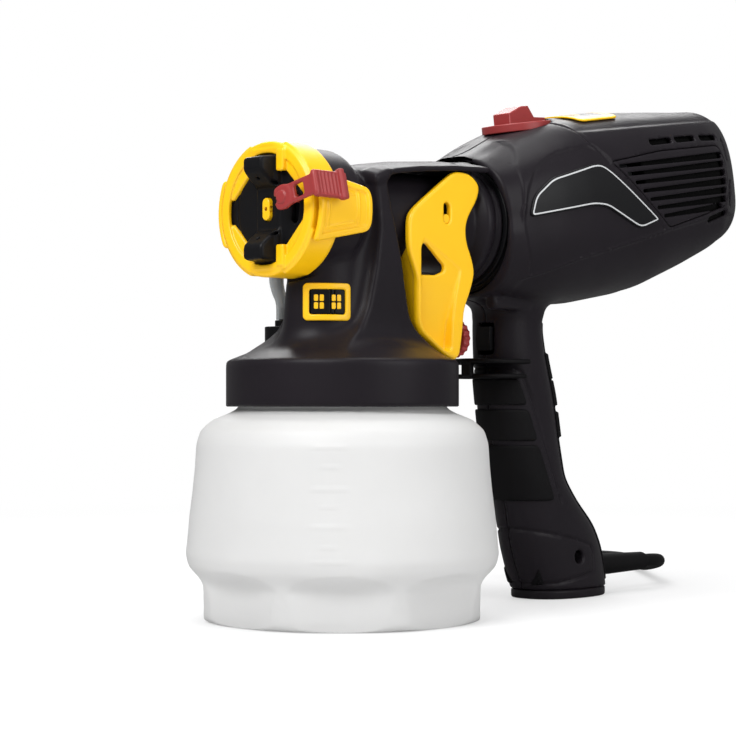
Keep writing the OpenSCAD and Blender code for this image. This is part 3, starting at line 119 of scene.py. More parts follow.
lead_points = metres(
    226, 0, 14, 233, 0, 14, 240, 0.8, 13.6, 247, 4, 12.8, 253, 9, 11.8, 260, 15.5, 10.6, 273, 28.5, 8.4,
    287, 42.5, 6.2, 301, 56.5, 4.6, 315, 70.5, 3.8, 327, 82.5, 3.6, 338, 94.5, 3.6, 345.5, 108, 3.6,
    345.5, 123.5, 3.6, 338, 137, 3.6, 324.5, 144.5, 3.6, 309, 144.5, 3.6, 295.5, 137, 4.2, 281.5, 123, 6.4,
    267.5, 109, 8.8, 261.5, 103, 9.4, 255, 96.5, 9.4, 246, 87.5, 9.4,
)
lead_data = bpy.data.curves.new("cord_lead", "CURVE")
lead_data.dimensions = "3D"
lead_data.bevel_depth = 1.0  # times the radius at each point
lead_data.bevel_resolution = 6
lead_data.resolution_u = 6
lead_data.use_fill_caps = True
spline = lead_data.splines.new("NURBS")
spline.points.add(len(lead_points) - 1)
spline.points.foreach_set("co", np.c_[lead_points, np.ones(len(lead_points))].ravel())
spline.points.foreach_set("radius", np.full(len(lead_points), 0.0035))
spline.order_u = 4
spline.use_endpoint_u = True
lead = put("cord_lead", lead_data)
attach(lead, "turbine")
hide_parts("cord")

# %% [markdown]
# The sprayer stands on a pale floor in soft studio light: a large soft box high on the left, a weaker one on the
# right, and a strip behind that draws the edges of the black plastic.

# %% Arithmetic on shader sockets
class Wire:
    """A shader socket that can be written in sums, products and powers. Each of them adds a Math node."""

    def __init__(self, tree, socket):
        self.tree, self.socket = tree, socket

    def math(self, operation, other=0.0, turned=False):
        pair = (other, self) if turned else (self, other)
        return self.tree.node("Math", {"operation": operation}, {0: pair[0], 1: pair[1]})

    def __add__(self, other): return self.math("ADD", other)
    def __radd__(self, other): return self.math("ADD", other, True)
    def __sub__(self, other): return self.math("SUBTRACT", other)
    def __rsub__(self, other): return self.math("SUBTRACT", other, True)
    def __mul__(self, other): return self.math("MULTIPLY", other)
    def __pow__(self, other): return self.math("POWER", other)
    def __abs__(self): return self.math("ABSOLUTE")
    def most(self, other): return self.math("MAXIMUM", other)

    def rise(self, start, end):
        """0 before start, 1 after end, and a smooth step between them."""
        return self.tree.node("MapRange", {"interpolation_type": "SMOOTHSTEP"},
                              {"Value": self, "From Min": start, "From Max": end})


class Tree:
    """The nodes of a material or of the world: node() adds any node, and the other methods are the usual ones."""

    def __init__(self, owner, kind="Material"):
        owner.use_nodes = True
        self.owner, self.tree = owner, owner.node_tree
        self.tree.nodes.clear()
        self.output = self.tree.nodes.new("ShaderNodeOutput" + kind)

    def node(self, kind, settings=None, sockets=None, out=0):
        """One more node: its settings first, then a link or a value for each socket that is named."""
        made = self.tree.nodes.new("ShaderNode" + kind)
        for key, value in (settings or {}).items():
            setattr(made, key, value)
        for key, value in (sockets or {}).items():
            if isinstance(value, Wire):
                self.tree.links.new(value.socket, made.inputs[key])
            else:
                made.inputs[key].default_value = value
        return Wire(self, made.outputs[out])

    def place(self):
        """Object coordinates: the place on the sprayer, in metres."""
        return self.node("TexCoord", out="Object")

    def xyz(self):
        """The three numbers of that place."""
        split = self.node("SeparateXYZ", None, {0: self.place()})
        return [Wire(self, socket) for socket in split.socket.node.outputs]

    def noise(self, scale, detail, stretch=None):
        """Noise from 0 to 1 with scale lumps a metre, drawn out along an axis where stretch says so."""
        where = self.place()
        if stretch is not None:
            where = self.node("Mapping", None, {"Vector": where, "Scale": stretch})
        return self.node("TexNoise", {"noise_dimensions": "3D"},
                         {"Vector": where, "Scale": scale, "Detail": detail, "Roughness": 0.5})

    def blend(self, share, first, second):
        """first where share is 0 and second where it is 1, as colours."""
        return self.node("Mix", {"data_type": "RGBA"}, {0: share, 6: colour(first), 7: colour(second)}, out=2)

    def bump(self, height, depth, strength=1.0):
        """A normal bent by height, which is depth metres at its most."""
        return self.node("Bump", None, {"Height": height, "Distance": depth, "Strength": strength})

    def seen(self):
        """1 on the way to the camera, directly or through clear pieces, and 0 for all other light."""
        return self.node("LightPath", out="Is Camera Ray").most(self.node("LightPath", out="Is Transmission Ray"))

    def end(self, shader):
        """Link the finished shader to the output."""
        self.tree.links.new(shader.socket, self.output.inputs["Surface"])
        return self.owner

    def surface(self, sockets):
        """End in a Principled shader with these sockets set."""
        return self.end(self.node("BsdfPrincipled", None, sockets))


def material_tree(name):
    """The node tree of a new material."""
    return Tree(bpy.data.materials.new(name))


def colour(value):
    """A colour socket's value: a wire as it is, or red, green and blue with a full alpha."""
    return value if isinstance(value, Wire) else (*value, 1.0)


# %% [markdown]
# The floor and backdrop are one pale sheet. Near the sprayer it takes its shadow, and further out it fades into the
# white of the background, so that no horizon shows.

# %% Floor, backdrop and lamps
FLOOR_HALF, FLOOR_Z = 4.0, -0.0002
sheet = bpy.data.meshes.new("floor")
sheet.from_pydata([(a * FLOOR_HALF, b * FLOOR_HALF, FLOOR_Z) for a, b in ((-1, -1), (1, -1), (1, 1), (-1, 1))],
                  [], [(0, 1, 2, 3)])
floor = put("floor", sheet)
t = material_tree("floor_paper")
fx, fy, _ = t.xyz()
far_away = t.node("Math", {"operation": "SQRT"}, {0: (fx - 0.08) ** 2.0 + fy ** 2.0}).rise(0.35, 1.1)
paper = t.node("BsdfDiffuse", None, {"Color": (0.86, 0.86, 0.865, 1)})
# In reflections the paper is dimmer, which keeps the undersides of the black pieces dark
dim_paper = t.node("BsdfDiffuse", None, {"Color": (0.2, 0.2, 0.2, 1)})
paper = t.node("MixShader", None, {0: t.node("LightPath", out="Is Glossy Ray"), 1: paper, 2: dim_paper})
white = t.node("Emission", None, {"Color": (1, 1, 1, 1), "Strength": 1.0})
share = t.seen() * (0.5 + far_away * 0.5)
floor.data.materials.append(t.end(t.node("MixShader", None, {0: share, 1: paper, 2: white})))

world = bpy.data.worlds.new("studio")
bpy.context.scene.world = world
sky = Tree(world, "World")
strength = sky.node("MapRange", None, {"Value": sky.seen(), "To Min": 0.24, "To Max": 1.0})
sky.end(sky.node("Background", None, {"Color": (1, 1, 1, 1), "Strength": strength}))


def soft_box(name, place, aim, size, power):
    """A rectangular lamp turned towards `aim`; size is its width and height in metres, power is in watts."""
    lamp = bpy.data.lights.new(name, "AREA")
    lamp.shape = "RECTANGLE"
    lamp.size, lamp.size_y = size
    lamp.energy = power
    made = put(name, lamp)
    made.location = place
    made.rotation_euler = (Vector(aim) - Vector(place)).to_track_quat("-Z", "Y").to_euler()


soft_box("key_box", (-0.95, -0.25, 0.95), (0.05, 0, 0.12), (0.8, 0.6), 14.0)
soft_box("fill_box", (0.25, -1.15, 0.55), (0.08, 0, 0.12), (0.9, 0.7), 6.0)
soft_box("back_box", (0.75, 0.75, 0.9), (0.1, 0, 0.15), (0.9, 0.3), 6.0)
soft_box("top_box", (0.1, 0.05, 1.2), (0.1, 0, 0.1), (0.9, 0.9), 9.0)

# %% [markdown]
# ## Shapes from distances
# Most of the sprayer is injection moulded: large rounded bodies that run into one another through fillets, with
# grooves, steps and windows cut into them. Patches laid side by side would leave a joint at each fillet. So each of
# these pieces is one formula, the distance in millimetres from any point to its surface (below zero inside), and a
# surface is then drawn where the distance is zero. A fillet is a softened minimum, and a rounded edge is a softened
# maximum.

# %% Distances and how they join
def reach(*parts):
    """The length of a vector from its parts: sqrt(a² + b² + ...)."""
    return np.sqrt(sum(part * part for part in parts))


def soft_min(a, b, k):
    """Both shapes in one, with a fillet: min(a, b) - h² k / 4, where h = max(0, 1 - |a - b| / k)."""
    h = np.maximum(k - np.abs(a - b), 0) / k
    return np.minimum(a, b) - h * h * k * 0.25


def soft_max(a, b, k):
    """What both shapes share, with a rounded edge."""
    return -soft_min(-a, -b, k)


def cut(a, b, k):
    """The shape a without the shape b, its edge rounded."""
    return -soft_min(-a, b, k)


def fade(value, start, end):
    """0 up to start, 1 from end on, 3t² - 2t³ between them."""
    t = np.clip((value - start) / (end - start), 0, 1)
    return t * t * (3 - 2 * t)


def block(x, y, z, low, high, r):
    """A box with rounded edges: |max(q, 0)| + min(max(q), 0) - r, where q is how far outside its smaller core."""
    q = [np.abs(p - (a + b) / 2) - ((b - a) / 2 - r) for p, a, b in zip((x, y, z), low, high)]
    outside = reach(*(np.maximum(part, 0) for part in q))
    return outside + np.minimum(np.maximum(np.maximum(q[0], q[1]), q[2]), 0) - r


def patch(a, b, low, high, r):
    """A flat rectangle with rounded corners."""
    return block(a, b, 0 * a, (*low, -9), (*high, 9), r)


def rod(a, b, along, r, start, end, k=0.6):
    """A cylinder of radius r from start to end; a and b are measured from its axis."""
    return soft_max(reach(a, b) - r, np.abs(along - (start + end) / 2) - (end - start) / 2, k)


def hole(a, b, at, r):
    """A straight round hole or boss, looked at along its axis."""
    return reach(a - at[0], b - at[1]) - r


def stroke(a, b, points, r0, r1=None):
    """A flat line of points, r0 to r1 wide either side: the least over its parts of |p - nearest| - r."""
    points = np.array(points, float)
    whole = np.inf
    lengths = np.r_[0, np.cumsum(reach(*np.diff(points, axis=0).T))]
    r1 = r0 if r1 is None else r1
    for p, q, l0, l1 in zip(points[:-1], points[1:], lengths[:-1], lengths[1:]):
        side = q - p
        t = np.clip(((a - p[0]) * side[0] + (b - p[1]) * side[1]) / (side @ side), 0, 1)
        wide = r0 + (r1 - r0) * (l0 + t * (l1 - l0)) / lengths[-1]
        whole = np.minimum(whole, reach(a - p[0] - t * side[0], b - p[1] - t * side[1]) - wide)
    return whole


class Outline:
    """The distance to a closed outline in a plane, its corners rounded. It is worked out once on a fine lattice, as
    the least distance to any side with the sign of the crossing count, and then read between the lattice points."""

    def __init__(self, points, radius, step=0.3, margin=4.0):
        points = np.array(points, float)
        before, after = np.roll(points, 1, 0) - points, np.roll(points, -1, 0) - points
        long_b, long_a = reach(*before.T), reach(*after.T)
        start = points + before * (np.minimum(radius, long_b * 0.48) / long_b)[:, None]
        end = points + after * (np.minimum(radius, long_a * 0.48) / long_a)[:, None]
        t = np.linspace(0, 1, 7)[None, :, None]
        points = ((1 - t) ** 2 * start[:, None] + 2 * t * (1 - t) * points[:, None]
                  + t * t * end[:, None]).reshape(-1, 2)
        self.low, self.step = points.min(0) - margin, step
        count = np.ceil((points.max(0) + margin - self.low) / step).astype(int) + 1
        a = (self.low[0] + step * np.arange(count[0]))[:, None, None]
        b = (self.low[1] + step * np.arange(count[1]))[None, :, None]
        p, q = points, np.roll(points, -1, 0)
        side = q - p
        size = np.maximum((side * side).sum(1), 1e-9)
        t = np.clip(((a - p[:, 0]) * side[:, 0] + (b - p[:, 1]) * side[:, 1]) / size, 0, 1)
        far = reach(a - p[:, 0] - t * side[:, 0], b - p[:, 1] - t * side[:, 1]).min(2)
        rise = np.where(np.abs(side[:, 1]) < 1e-12, 1e-12, side[:, 1])
        crossed = ((p[:, 1] > b) != (q[:, 1] > b)) & (a < (b - p[:, 1]) / rise * side[:, 0] + p[:, 0])
        self.table = np.where(crossed.sum(2) % 2 == 1, -far, far)

    def __call__(self, a, b):
        u = (a - self.low[0]) / self.step
        v = (b - self.low[1]) / self.step
        cu = np.clip(u, 0, self.table.shape[0] - 1.001)
        cv = np.clip(v, 0, self.table.shape[1] - 1.001)
        i, j = cu.astype(int), cv.astype(int)
        fu, fv = cu - i, cv - j
        t = self.table
        inner = ((t[i, j] * (1 - fu) + t[i + 1, j] * fu) * (1 - fv)
                 + (t[i, j + 1] * (1 - fu) + t[i + 1, j + 1] * fu) * fv)
        return inner + reach(u - cu, v - cv) * self.step


class Loft:
    """A body through rows of [place, top or front, bottom or back, half width], each a superellipse. Between rows the
    sizes run smoothly. With q = (|a/A|^n + |b/B|^n)^(1/n), the distance is close to r (1 - 1/q)."""

    def __init__(self, rows, power, smooth):
        rows = np.array(rows, float)
        rows = rows[np.argsort(rows[:, 0])]
        self.at = np.arange(rows[0, 0] - 20, rows[-1, 0] + 20, 0.25)
        width = max(int(smooth / 0.25) | 1, 3)
        kernel = np.ones(width) / width
        self.columns = []
        for column in rows.T[1:]:
            line = np.interp(self.at, rows[:, 0], column)
            first = (column[1] - column[0]) / (rows[1, 0] - rows[0, 0])
            last = (column[-1] - column[-2]) / (rows[-1, 0] - rows[-2, 0])
            line += np.minimum(self.at - rows[0, 0], 0) * first + np.maximum(self.at - rows[-1, 0], 0) * last
            padded = np.pad(line, width, mode="reflect", reflect_type="odd")
            self.columns.append(np.convolve(np.convolve(padded, kernel, "same"), kernel, "same")[width:-width])
        self.power = power

    def sizes(self, place):
        """Top, bottom and half width at a place along the body, from the smoothed rows."""
        return [np.interp(place, self.at, column) for column in self.columns]

    def __call__(self, across, up, place):
        """across the width, up towards the top; top and bottom are measured from the axis."""
        top, bottom, half = self.sizes(place)
        tall = np.where(up > 0, top, bottom)
        q = ((np.abs(across) / half) ** self.power + (np.abs(up) / tall) ** self.power) ** (1 / self.power)
        return reach(across, up) * (1 - 1 / np.maximum(q, 1e-3))


# %% [markdown]
# The surface where a distance is zero is drawn with surface nets: a lattice of cells, one vertex in each cell that
# the surface runs through, at the mean of the crossings on the cell's edges, and one four-sided face across each
# lattice edge that the surface crosses. Then each vertex is moved onto the surface along the slope. Marching cubes
# would give slivers and creases at the same pitch.

# %% From a distance to a surface
def draw_surface(field, low, high, pitch):
    """Vertices and faces of field(x, y, z) = 0 in a box. Only blocks of cells near the surface are worked out."""
    span = 6  # cells along a block
    blocks = np.ceil((np.array(high, float) - low) / (pitch * span)).astype(int)
    centre = np.meshgrid(*(low[a] + (np.arange(blocks[a]) + 0.5) * span * pitch for a in range(3)), indexing="ij")
    middle = field(*(c.ravel() for c in centre)).reshape(blocks)
    near = np.abs(middle) < span * pitch * 1.35
    cells = near.repeat(span, 0).repeat(span, 1).repeat(span, 2)
    nodes_at = np.zeros(np.array(cells.shape) + 1, bool)
    corners = [(i, j, k) for i in (0, 1) for j in (0, 1) for k in (0, 1)]

    def shifted(array, corner):
        return array[tuple(slice(c, c + n) for c, n in zip(corner, cells.shape))]

    for corner in corners:
        np.logical_or(shifted(nodes_at, corner), cells, out=shifted(nodes_at, corner))
    values = np.ones(nodes_at.shape, np.float32)
    where = np.nonzero(nodes_at)
    values[where] = field(*(low[a] + pitch * where[a] for a in range(3)))
    inside = values < 0
    count = sum(shifted(inside, corner).astype(np.int8) for corner in corners)
    active = cells & (count > 0) & (count < 8)
    number = np.full(cells.shape, -1, np.int32)
    here = np.stack(np.nonzero(active), 1)
    number[active] = np.arange(len(here))
    at_corner = {corner: shifted(values, corner)[active] for corner in corners}
    total = np.zeros((len(here), 3))
    crossings = np.zeros(len(here))
    for corner in corners:
        for axis in range(3):
            if corner[axis]:
                continue
            other = tuple(c + (a == axis) for a, c in enumerate(corner))
            a, b = at_corner[corner], at_corner[other]
            crossed = (a < 0) != (b < 0)
            share = np.where(crossed, a / np.where(crossed, a - b, 1), 0)
            place = np.array(corner, float)[None] + np.eye(3)[axis][None] * share[:, None]
            total += place * crossed[:, None]
            crossings += crossed
    points = low + pitch * (here + total / crossings[:, None])
    faces = []
    for axis in range(3):
        u, v = (axis + 1) % 3, (axis + 2) % 3
        lower = [slice(None)] * 3
        upper = [slice(None)] * 3
        lower[axis], upper[axis] = slice(0, -1), slice(1, None)
        edge = np.stack(np.nonzero(inside[tuple(lower)] != inside[tuple(upper)]), 1)
        edge = edge[(edge[:, u] > 0) & (edge[:, v] > 0) & (edge[:, u] < cells.shape[u]) & (edge[:, v] < cells.shape[v])]
        step_u, step_v = np.eye(3, dtype=int)[u], np.eye(3, dtype=int)[v]
        ring = [edge - step_u - step_v, edge - step_v, edge, edge - step_u]
        quad = np.stack([number[tuple(cell.T)] for cell in ring], 1)
        turned = ~inside[tuple(edge.T)]
        quad[turned] = quad[turned][:, ::-1]
        faces.append(quad[(quad >= 0).all(1)])
    for _ in range(2):
        here_f = field(*points.T)
        slope = np.stack([(field(*(points + step).T) - field(*(points - step).T)) / (0.4 * pitch)
                          for step in np.eye(3) * 0.2 * pitch], 1)
        move = slope * (here_f / np.maximum((slope * slope).sum(1), 0.05))[:, None]
        size = np.maximum(reach(*move.T), 1e-9)
        points = points - move * np.minimum(1, 0.45 * pitch / size)[:, None]
    return points, np.concatenate(faces)


def add_mesh(name, points, faces):
    """A smooth mesh object from points in millimetres and four-sided faces."""
    mesh = bpy.data.meshes.new(name)
    mesh.vertices.add(len(points))
    mesh.vertices.foreach_set("co", (np.asarray(points, np.float32) / 1000).ravel())
    mesh.loops.add(faces.size)
    mesh.loops.foreach_set("vertex_index", faces.astype(np.int32).ravel())
    mesh.polygons.add(len(faces))
    mesh.polygons.foreach_set("loop_start", np.arange(0, faces.size, 4, dtype=np.int32))
    mesh.update(calc_edges=True)
    mesh.validate()
    mesh.polygons.foreach_set("use_smooth", np.ones(len(mesh.polygons), bool))
    return put(name, mesh)


finished = []
replaced = {"cord"}


def take_over(made, node, stands_in=True):
    """The piece moves with the body of a construction node and later gets its material. A piece that stands in for
    the node is shown in its place."""
    instead_of = {node} if stands_in else set()
    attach(made, body_of[node])
    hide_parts(*instead_of)
    replaced.update(instead_of)
    finished.append((made, slot_of[node]))
    print(made.name, len(made.data.vertices), "vertices")
    return made


def grow(name, field, box, pitch, node, stands_in=True):
    """Draw one piece from its distance, in the box of its construction node with a little room round it."""
    low, high = np.array(box, float).reshape(2, 3)
    return take_over(add_mesh(name, *draw_surface(field, low, high, pitch)), node, stands_in)


def grow_pair(kind, ending, field, box, pitch):
    """The left and the right piece of a kind, in the right one's box and its mirror image. The field is also told the
    side, -1 for left and 1 for right."""
    x0, y0, z0, x1, y1, z1 = box
    return [grow(f"{kind}_{word}_{ending}", lambda x, y, z: field(x, y, z, side),
                 (x0, min(side * y0, side * y1), z0, x1, max(side * y0, side * y1), z1), pitch, f"{kind}_{word}")
            for word, side in (("left", -1), ("right", 1))]


def keep_value(made, name, value_at):
    """Keep a value at each vertex, worked out from its place in millimetres, for the material to read."""
    co = np.zeros(len(made.data.vertices) * 3, np.float32)
    made.data.vertices.foreach_get("co", co)
    kept = made.data.attributes.new(name, "FLOAT", "POINT")
    kept.data.foreach_set("value", value_at(*co.reshape(-1, 3).T * 1000.0).astype(np.float32))


def about_axis(y, z):
    """Height over the axis of the spray head, and distance from it."""
    return z - AXIS_Z, reach(y, z - AXIS_Z)


# %% [markdown]
# ## Turbine housing and handle
# The two shells are moulded halves that meet in the middle plane. The housing is a rounded barrel, tilted by 8.6
# degrees, and the handle grows out of it and spreads into a foot. Both are lofts through rounded cross-sections, run
# together with a fillet. A subdivided box could give the barrel, but not the fillet, the steps and the windows in one
# surface.

# %% The body that both shells are parts of
AXIS_Z, COUPLING_X, TILT = 185.0, 80.0, math.radians(8.6)
HOUSING_LEN, HOUSING_TOP, HOUSING_BOTTOM, HOUSING_HALF = 205.0, 50.0, 46.5, 46.0
WALL = 2.8
SELECTOR_AT = 50
LEAD_Z = 14
GRIP_SCREW, FOOT_SCREW = (124, 89), (150, 21)
BOSS_R, SCREW_HOLE_R = 4.4, 3.5


def on_housing(x, z):
    """How far along the tilted housing a point lies from the coupling, and how high above its axis."""
    a, b = x - COUPLING_X, z - AXIS_Z
    return a * math.cos(TILT) + b * math.sin(TILT), b * math.cos(TILT) - a * math.sin(TILT)


housing_shape = Loft([
    [share * HOUSING_LEN, top * HOUSING_TOP, bottom * HOUSING_BOTTOM, half * HOUSING_HALF]
    for share, top, bottom, half in (
        (-0.012, 0.68, 0.74, 0.76), (0.045, 0.72, 0.835, 0.84), (0.1, 0.79, 0.89, 0.9), (0.15, 0.853, 0.924, 0.948),
        (0.233, 0.94, 0.945, 0.99), (0.32, 0.985, 0.975, 1), (0.52, 1, 0.962, 1), (0.7, 0.976, 0.811, 0.94),
        (0.84, 0.948, 0.677, 0.85), (0.94, 0.94, 0.548, 0.655), (1, 0.86, 0.326, 0.46))
], 2.7, 9)
handle_rows = np.array([
    (161, 102, 139, 20), (147, 99.5, 133.5, 17.3), (137, 98.5, 131.5, 16.5), (122, 98.5, 135, 16.5),
    (103, 100.3, 141.5, 16.5), (80, 103.5, 146, 16.5), (61, 109.5, 150, 17), (49, 113, 160, 17.5),
    (37, 115.5, 173.5, 18), (26, 117.8, 180, 18.5), (12, 123.5, 183.5, 19), (5, 127, 184, 19.3)])
level, ahead, behind, half = handle_rows.T
handle_middle = Loft(np.c_[level, (ahead + behind) / 2, half, half], 2, 7)
handle_shape = Loft(np.c_[level, (behind - ahead) / 2, (behind - ahead) / 2, half], 2.3, 7)


def housing_body(x, y, z):
    """The turbine housing as one plain body: its loft, cut off at the front and rounded off at the rear."""
    s, h = on_housing(x, z)
    d = housing_shape(y, h, s)
    return soft_max(soft_max(d, s - HOUSING_LEN, 7.0), -HOUSING_LEN * 0.012 - s, 1.6)


def handle_body(x, y, z):
    """The handle as one plain body: its loft about a leaning middle line, cut off at the top."""
    middle = handle_middle.sizes(z)[0]
    return np.maximum(handle_shape(y, x - middle, z), z - 168)


def both_bodies(x, y, z):
    """Housing and handle, run together through a wide fillet."""
    return soft_min(housing_body(x, y, z), handle_body(x, y, z), 9.0)


side_panel = Outline([
    (5, 0), (9, 13.3), (16.4, 23), (27, 29), (38, 31.7), (58.5, 33.5), (67.3, 25), (108, -13.5), (95, -15),
    (38.7, -21.3), (9.4, -26.9)], 4)
vent_outline = Outline([(69, 24), (112, 27), (171, 27), (176, 20), (176, 2), (168, -6), (110, -12.5)], 3)
badge_shape = Outline([
    (8, 1.5), (12.5, 12), (25, 19.5), (55, 24.2), (61, 23.6), (67, 19.5), (102, -8), (86, -11), (81, -9.5),
    (59, 2.2), (49, 3.6)], 4, step=0.2)
handle_lines = [
    [(80, 116.8), (103.3, 116.8), (109, 114.4), (115.1, 102.3), (134.5, 56.3), (137, 48.6)],
    [(80, 38), (116.9, 36), (147.1, 30.2), (160, 26.6), (161.4, 24), (161.4, 14.6), (160, 12.8), (134.8, 8.2), (80, 9)]]
seam_line = [(54.2, 46), (57.5, 41.5), (59.8, 34.3), (68, 24.5)]
short_slots = [
    [(107, 31.6), (126, 31.8)], [(131.4, 31.8), (149.4, 31.8)], [(156.7, 31.6), (174.3, 31)],
    [(183.2, 29), (181.5, 19.7)], [(180.9, 6.4), (176.5, -4.5)], [(151, -11.5), (169.6, -9)]]
crease = np.array([(5, -28), (38.7, -21.3), (107, -13.9), (139.6, -11.5), (166, -9), (205, -12)])


def shell_surface(x, y, z):
    """The outside of the housing with its steps: a side panel set back by 0.8 mm, a lower edge, a flatter top, the
    front facet, and the line between the front and the vented part."""
    s, h = on_housing(x, z)
    d = both_bodies(x, y, z)
    side = fade(np.abs(y), 6, 15)
    on_body = fade(housing_body(x, y, z), 7, 1)
    step = 0.8 * (1 - fade(side_panel(s, h), -0.9, 0.5))
    low = np.interp(s, crease[:, 0], crease[:, 1])
    step = step + 0.9 * fade(low - h, 0, 1.2) * fade(s, 4, 10) * (1 - fade(s, 175, 190))
    step = step + 0.7 * fade(h - 39.6, 0, 1.5) * fade(s, 57, 60)
    facet = np.interp(h, [-40, 5, 8, 15, 27, 39.3], [5, 5, 6.5, 8, 10.5, 22.8])
    step = step + 1.0 * (1 - fade(s - facet, -0.8, 0.4)) * fade(h, -6, 4)
    return d + step * side * on_body


housing_screws = [(30, 34), (118, 39), (118, -37), (191, 8)]


def shells(x, y, z, side):
    """Both shells in one distance; side is -1 for the left and 1 for the right shell."""
    s, h = on_housing(x, z)
    outside = shell_surface(x, y, z)
    body = both_bodies(x, y, z)
    d = soft_max(outside, -(body + WALL), 0.6)
    bosses = ([hole(s, h, screw, BOSS_R) for screw in housing_screws]
              + [hole(x, z, screw, BOSS_R) for screw in (GRIP_SCREW, FOOT_SCREW)])
    d = np.minimum(d, np.maximum(np.minimum.reduce(bosses), body + 1.2))
    if side < 0:
        peg = np.maximum(rod(y + 14.5, z - 148, x, 3.4, 86, 112, 1.6), -(body + WALL))
        d = soft_min(d, peg, 2.0)
    d = cut(d, reach(y, z - AXIS_Z) - 32.6 + 100 * (x > 101.3), 1.2)
    d = cut(d, np.maximum(vent_outline(s, h), 18 - np.abs(y)), 0.9)
    d = cut(d, rod(s - SELECTOR_AT, y, h, 17.8, 43.6, 80, 0.4), 1.0)
    d = cut(d, rod(s - SELECTOR_AT, y, h, 4.3, 0, 60), 0.6)
    d = cut(d, block(x, y, z, (70, -4.8, 123.2), (104, 4.8, 138.8), 0.8), 0.9)
    d = cut(d, rod(y, z - LEAD_Z, x, 4.9, 169.5, 260), 0.8)
    on_handle = np.minimum.reduce([stroke(x, z, line, 0) for line in handle_lines] + [
        np.abs(np.abs(y) - 13) + 30 * (1 - fade(x - handle_middle.sizes(z)[0], 3, 6)) + 30 * fade(z, 124, 126)])
    on_handle = on_handle + 30 * fade(handle_body(x, y, z), 3, 5)
    grooves = reach(np.minimum(stroke(s, h, seam_line, 0) + 40 * fade(handle_body(x, y, z), 12, 9), on_handle),
                    outside * 0.8) - 0.75
    grooves = np.minimum(grooves, np.maximum(np.minimum.reduce(
        [stroke(s, h, line, 1.45) for line in short_slots]), 20 - np.abs(y)))
    d = cut(d, grooves, 0.5)
    if side > 0:
        holes = [hole(s, h, screw, SCREW_HOLE_R) for screw in housing_screws] + [hole(x, z, GRIP_SCREW, SCREW_HOLE_R)]
        d = cut(d, np.maximum(np.minimum.reduce(holes), 9 - y), 0.8)
    else:
        d = cut(d, np.maximum(hole(x, z, FOOT_SCREW, SCREW_HOLE_R), 9 + y), 0.8)
    d = soft_max(d, 5 - z, 0.5)
    return soft_max(d, 0.06 - side * y, 0.7)


grow_pair("shell", "moulding", shells, (74, -2, 2, 288, 48, 270), 1.05)

# %% [markdown]
# The filter covers are pieces of the same skin: they are cut from the same body, so they lie flush in their windows.
# Seven slots run back from the slanted front edge and widen on the way, and dark foam shows behind them.

# %% Filter covers
louvre_from = [(72.5, 21.3), (77.6, 16.9), (82.7, 12.3), (87.9, 7.7), (93.2, 3.0), (98.4, -1.6), (103.6, -6.2)]
louvre_to = [(172, 21.6), (172, 16.9), (172, 12.2), (172, 7.5), (171, 2.8), (169, -1.7), (163.5, -5.3)]


def cover_shape(x, y, z, side):
    """The housing's skin inside the window's outline, with seven slots that widen to the rear."""
    s, h = on_housing(x, z)
    body = housing_body(x, y, z)
    d = soft_max(soft_max(body, -(body + WALL), 0.7), vent_outline(s, h) + 0.2, 0.9)
    for a, b in zip(louvre_from, louvre_to):
        d = cut(d, stroke(s, h, [(a[0] + 2.4, a[1]), b], 0.85, 1.7), 0.7)
    return d


grow_pair("cover", "louvred", cover_shape, (144, 15, 186, 262, 48, 246), 0.62)

# %% [markdown]
# The filters are pads of open foam: lumps at the size of the cells are pushed in and out of a plain pad, so that the
# surface behind the slots is rough. Cutting real cells would cost far more faces than can be seen.

# %% Foam filters
def foam_pad(x, y, z, side):
    """A block behind the skin, with a product of sine waves added to its distance."""
    s, h = on_housing(x, z)
    cells = np.sin(2.3 * x) * np.sin(2.6 * y + 1) + np.sin(2.9 * z) * np.sin(2.1 * x + 0.7 * y)
    pad = block(s, np.abs(y), h, (97, 28, -13), (183, 54, 34), 1)
    return soft_max(housing_body(x, y, z) + WALL + 0.65, pad, 0.8) + 0.22 * cells


grow_pair("filter", "foam", foam_pad, (166, 26, 178, 272, 48, 252), 0.85)

# %% [markdown]
# The badges are thin printed plates in the side panels. They carry a border line and no lettering; the border is a
# value kept at each vertex, its distance from the edge. The strip down the spine and the grip pads are rubber moulded
# over the handle, so each is the handle's own shape, let out by about a millimetre and cut to an outline. Loose plates
# laid on the handle would have to be bent to fit it.

# %% Badges, top plate, spine, grip pads and foot base
def badge(x, y, z, side):
    """A layer 1.1 mm thick on the housing's surface, inside the badge's outline."""
    s, h = on_housing(x, z)
    body = housing_body(x, y, z)
    return soft_max(soft_max(body - 0.35, -(body + 0.75), 0.3), badge_shape(s, h) + 0.1, 0.5)


for made in grow_pair("badge", "plate", badge, (84, 36, 180, 190, 49, 224), 0.5):
    keep_value(made, "edge", lambda x, y, z: -badge_shape(*on_housing(x, z)))


def top_plate(x, y, z):
    """A layer 1 mm thick on the housing's surface, inside a rounded rectangle."""
    s, h = on_housing(x, z)
    body = housing_body(x, y, z)
    return soft_max(soft_max(body - 0.7, -(body + 0.3), 0.3), block(s, y, h, (71, -25, 20), (102, 25, 80), 3.5), 0.5)


def printed_field(x, y, z):
    """1 on the dark field of the top plate, 0 on its border and on the bar in the field."""
    s = on_housing(x, z)[0]
    dark = cut(block(s, y, 0 * s, (75, -21, -1), (98, 21, 1), 2), patch(s, y, (80, -15), (83.5, 15), 1), 0.3)
    return 1 - fade(dark, -0.3, 0.3)


made = grow("top_plate_label", top_plate, (140, -27, 225, 190, 27, 252), 0.5, "top_plate")
keep_value(made, "print", printed_field)


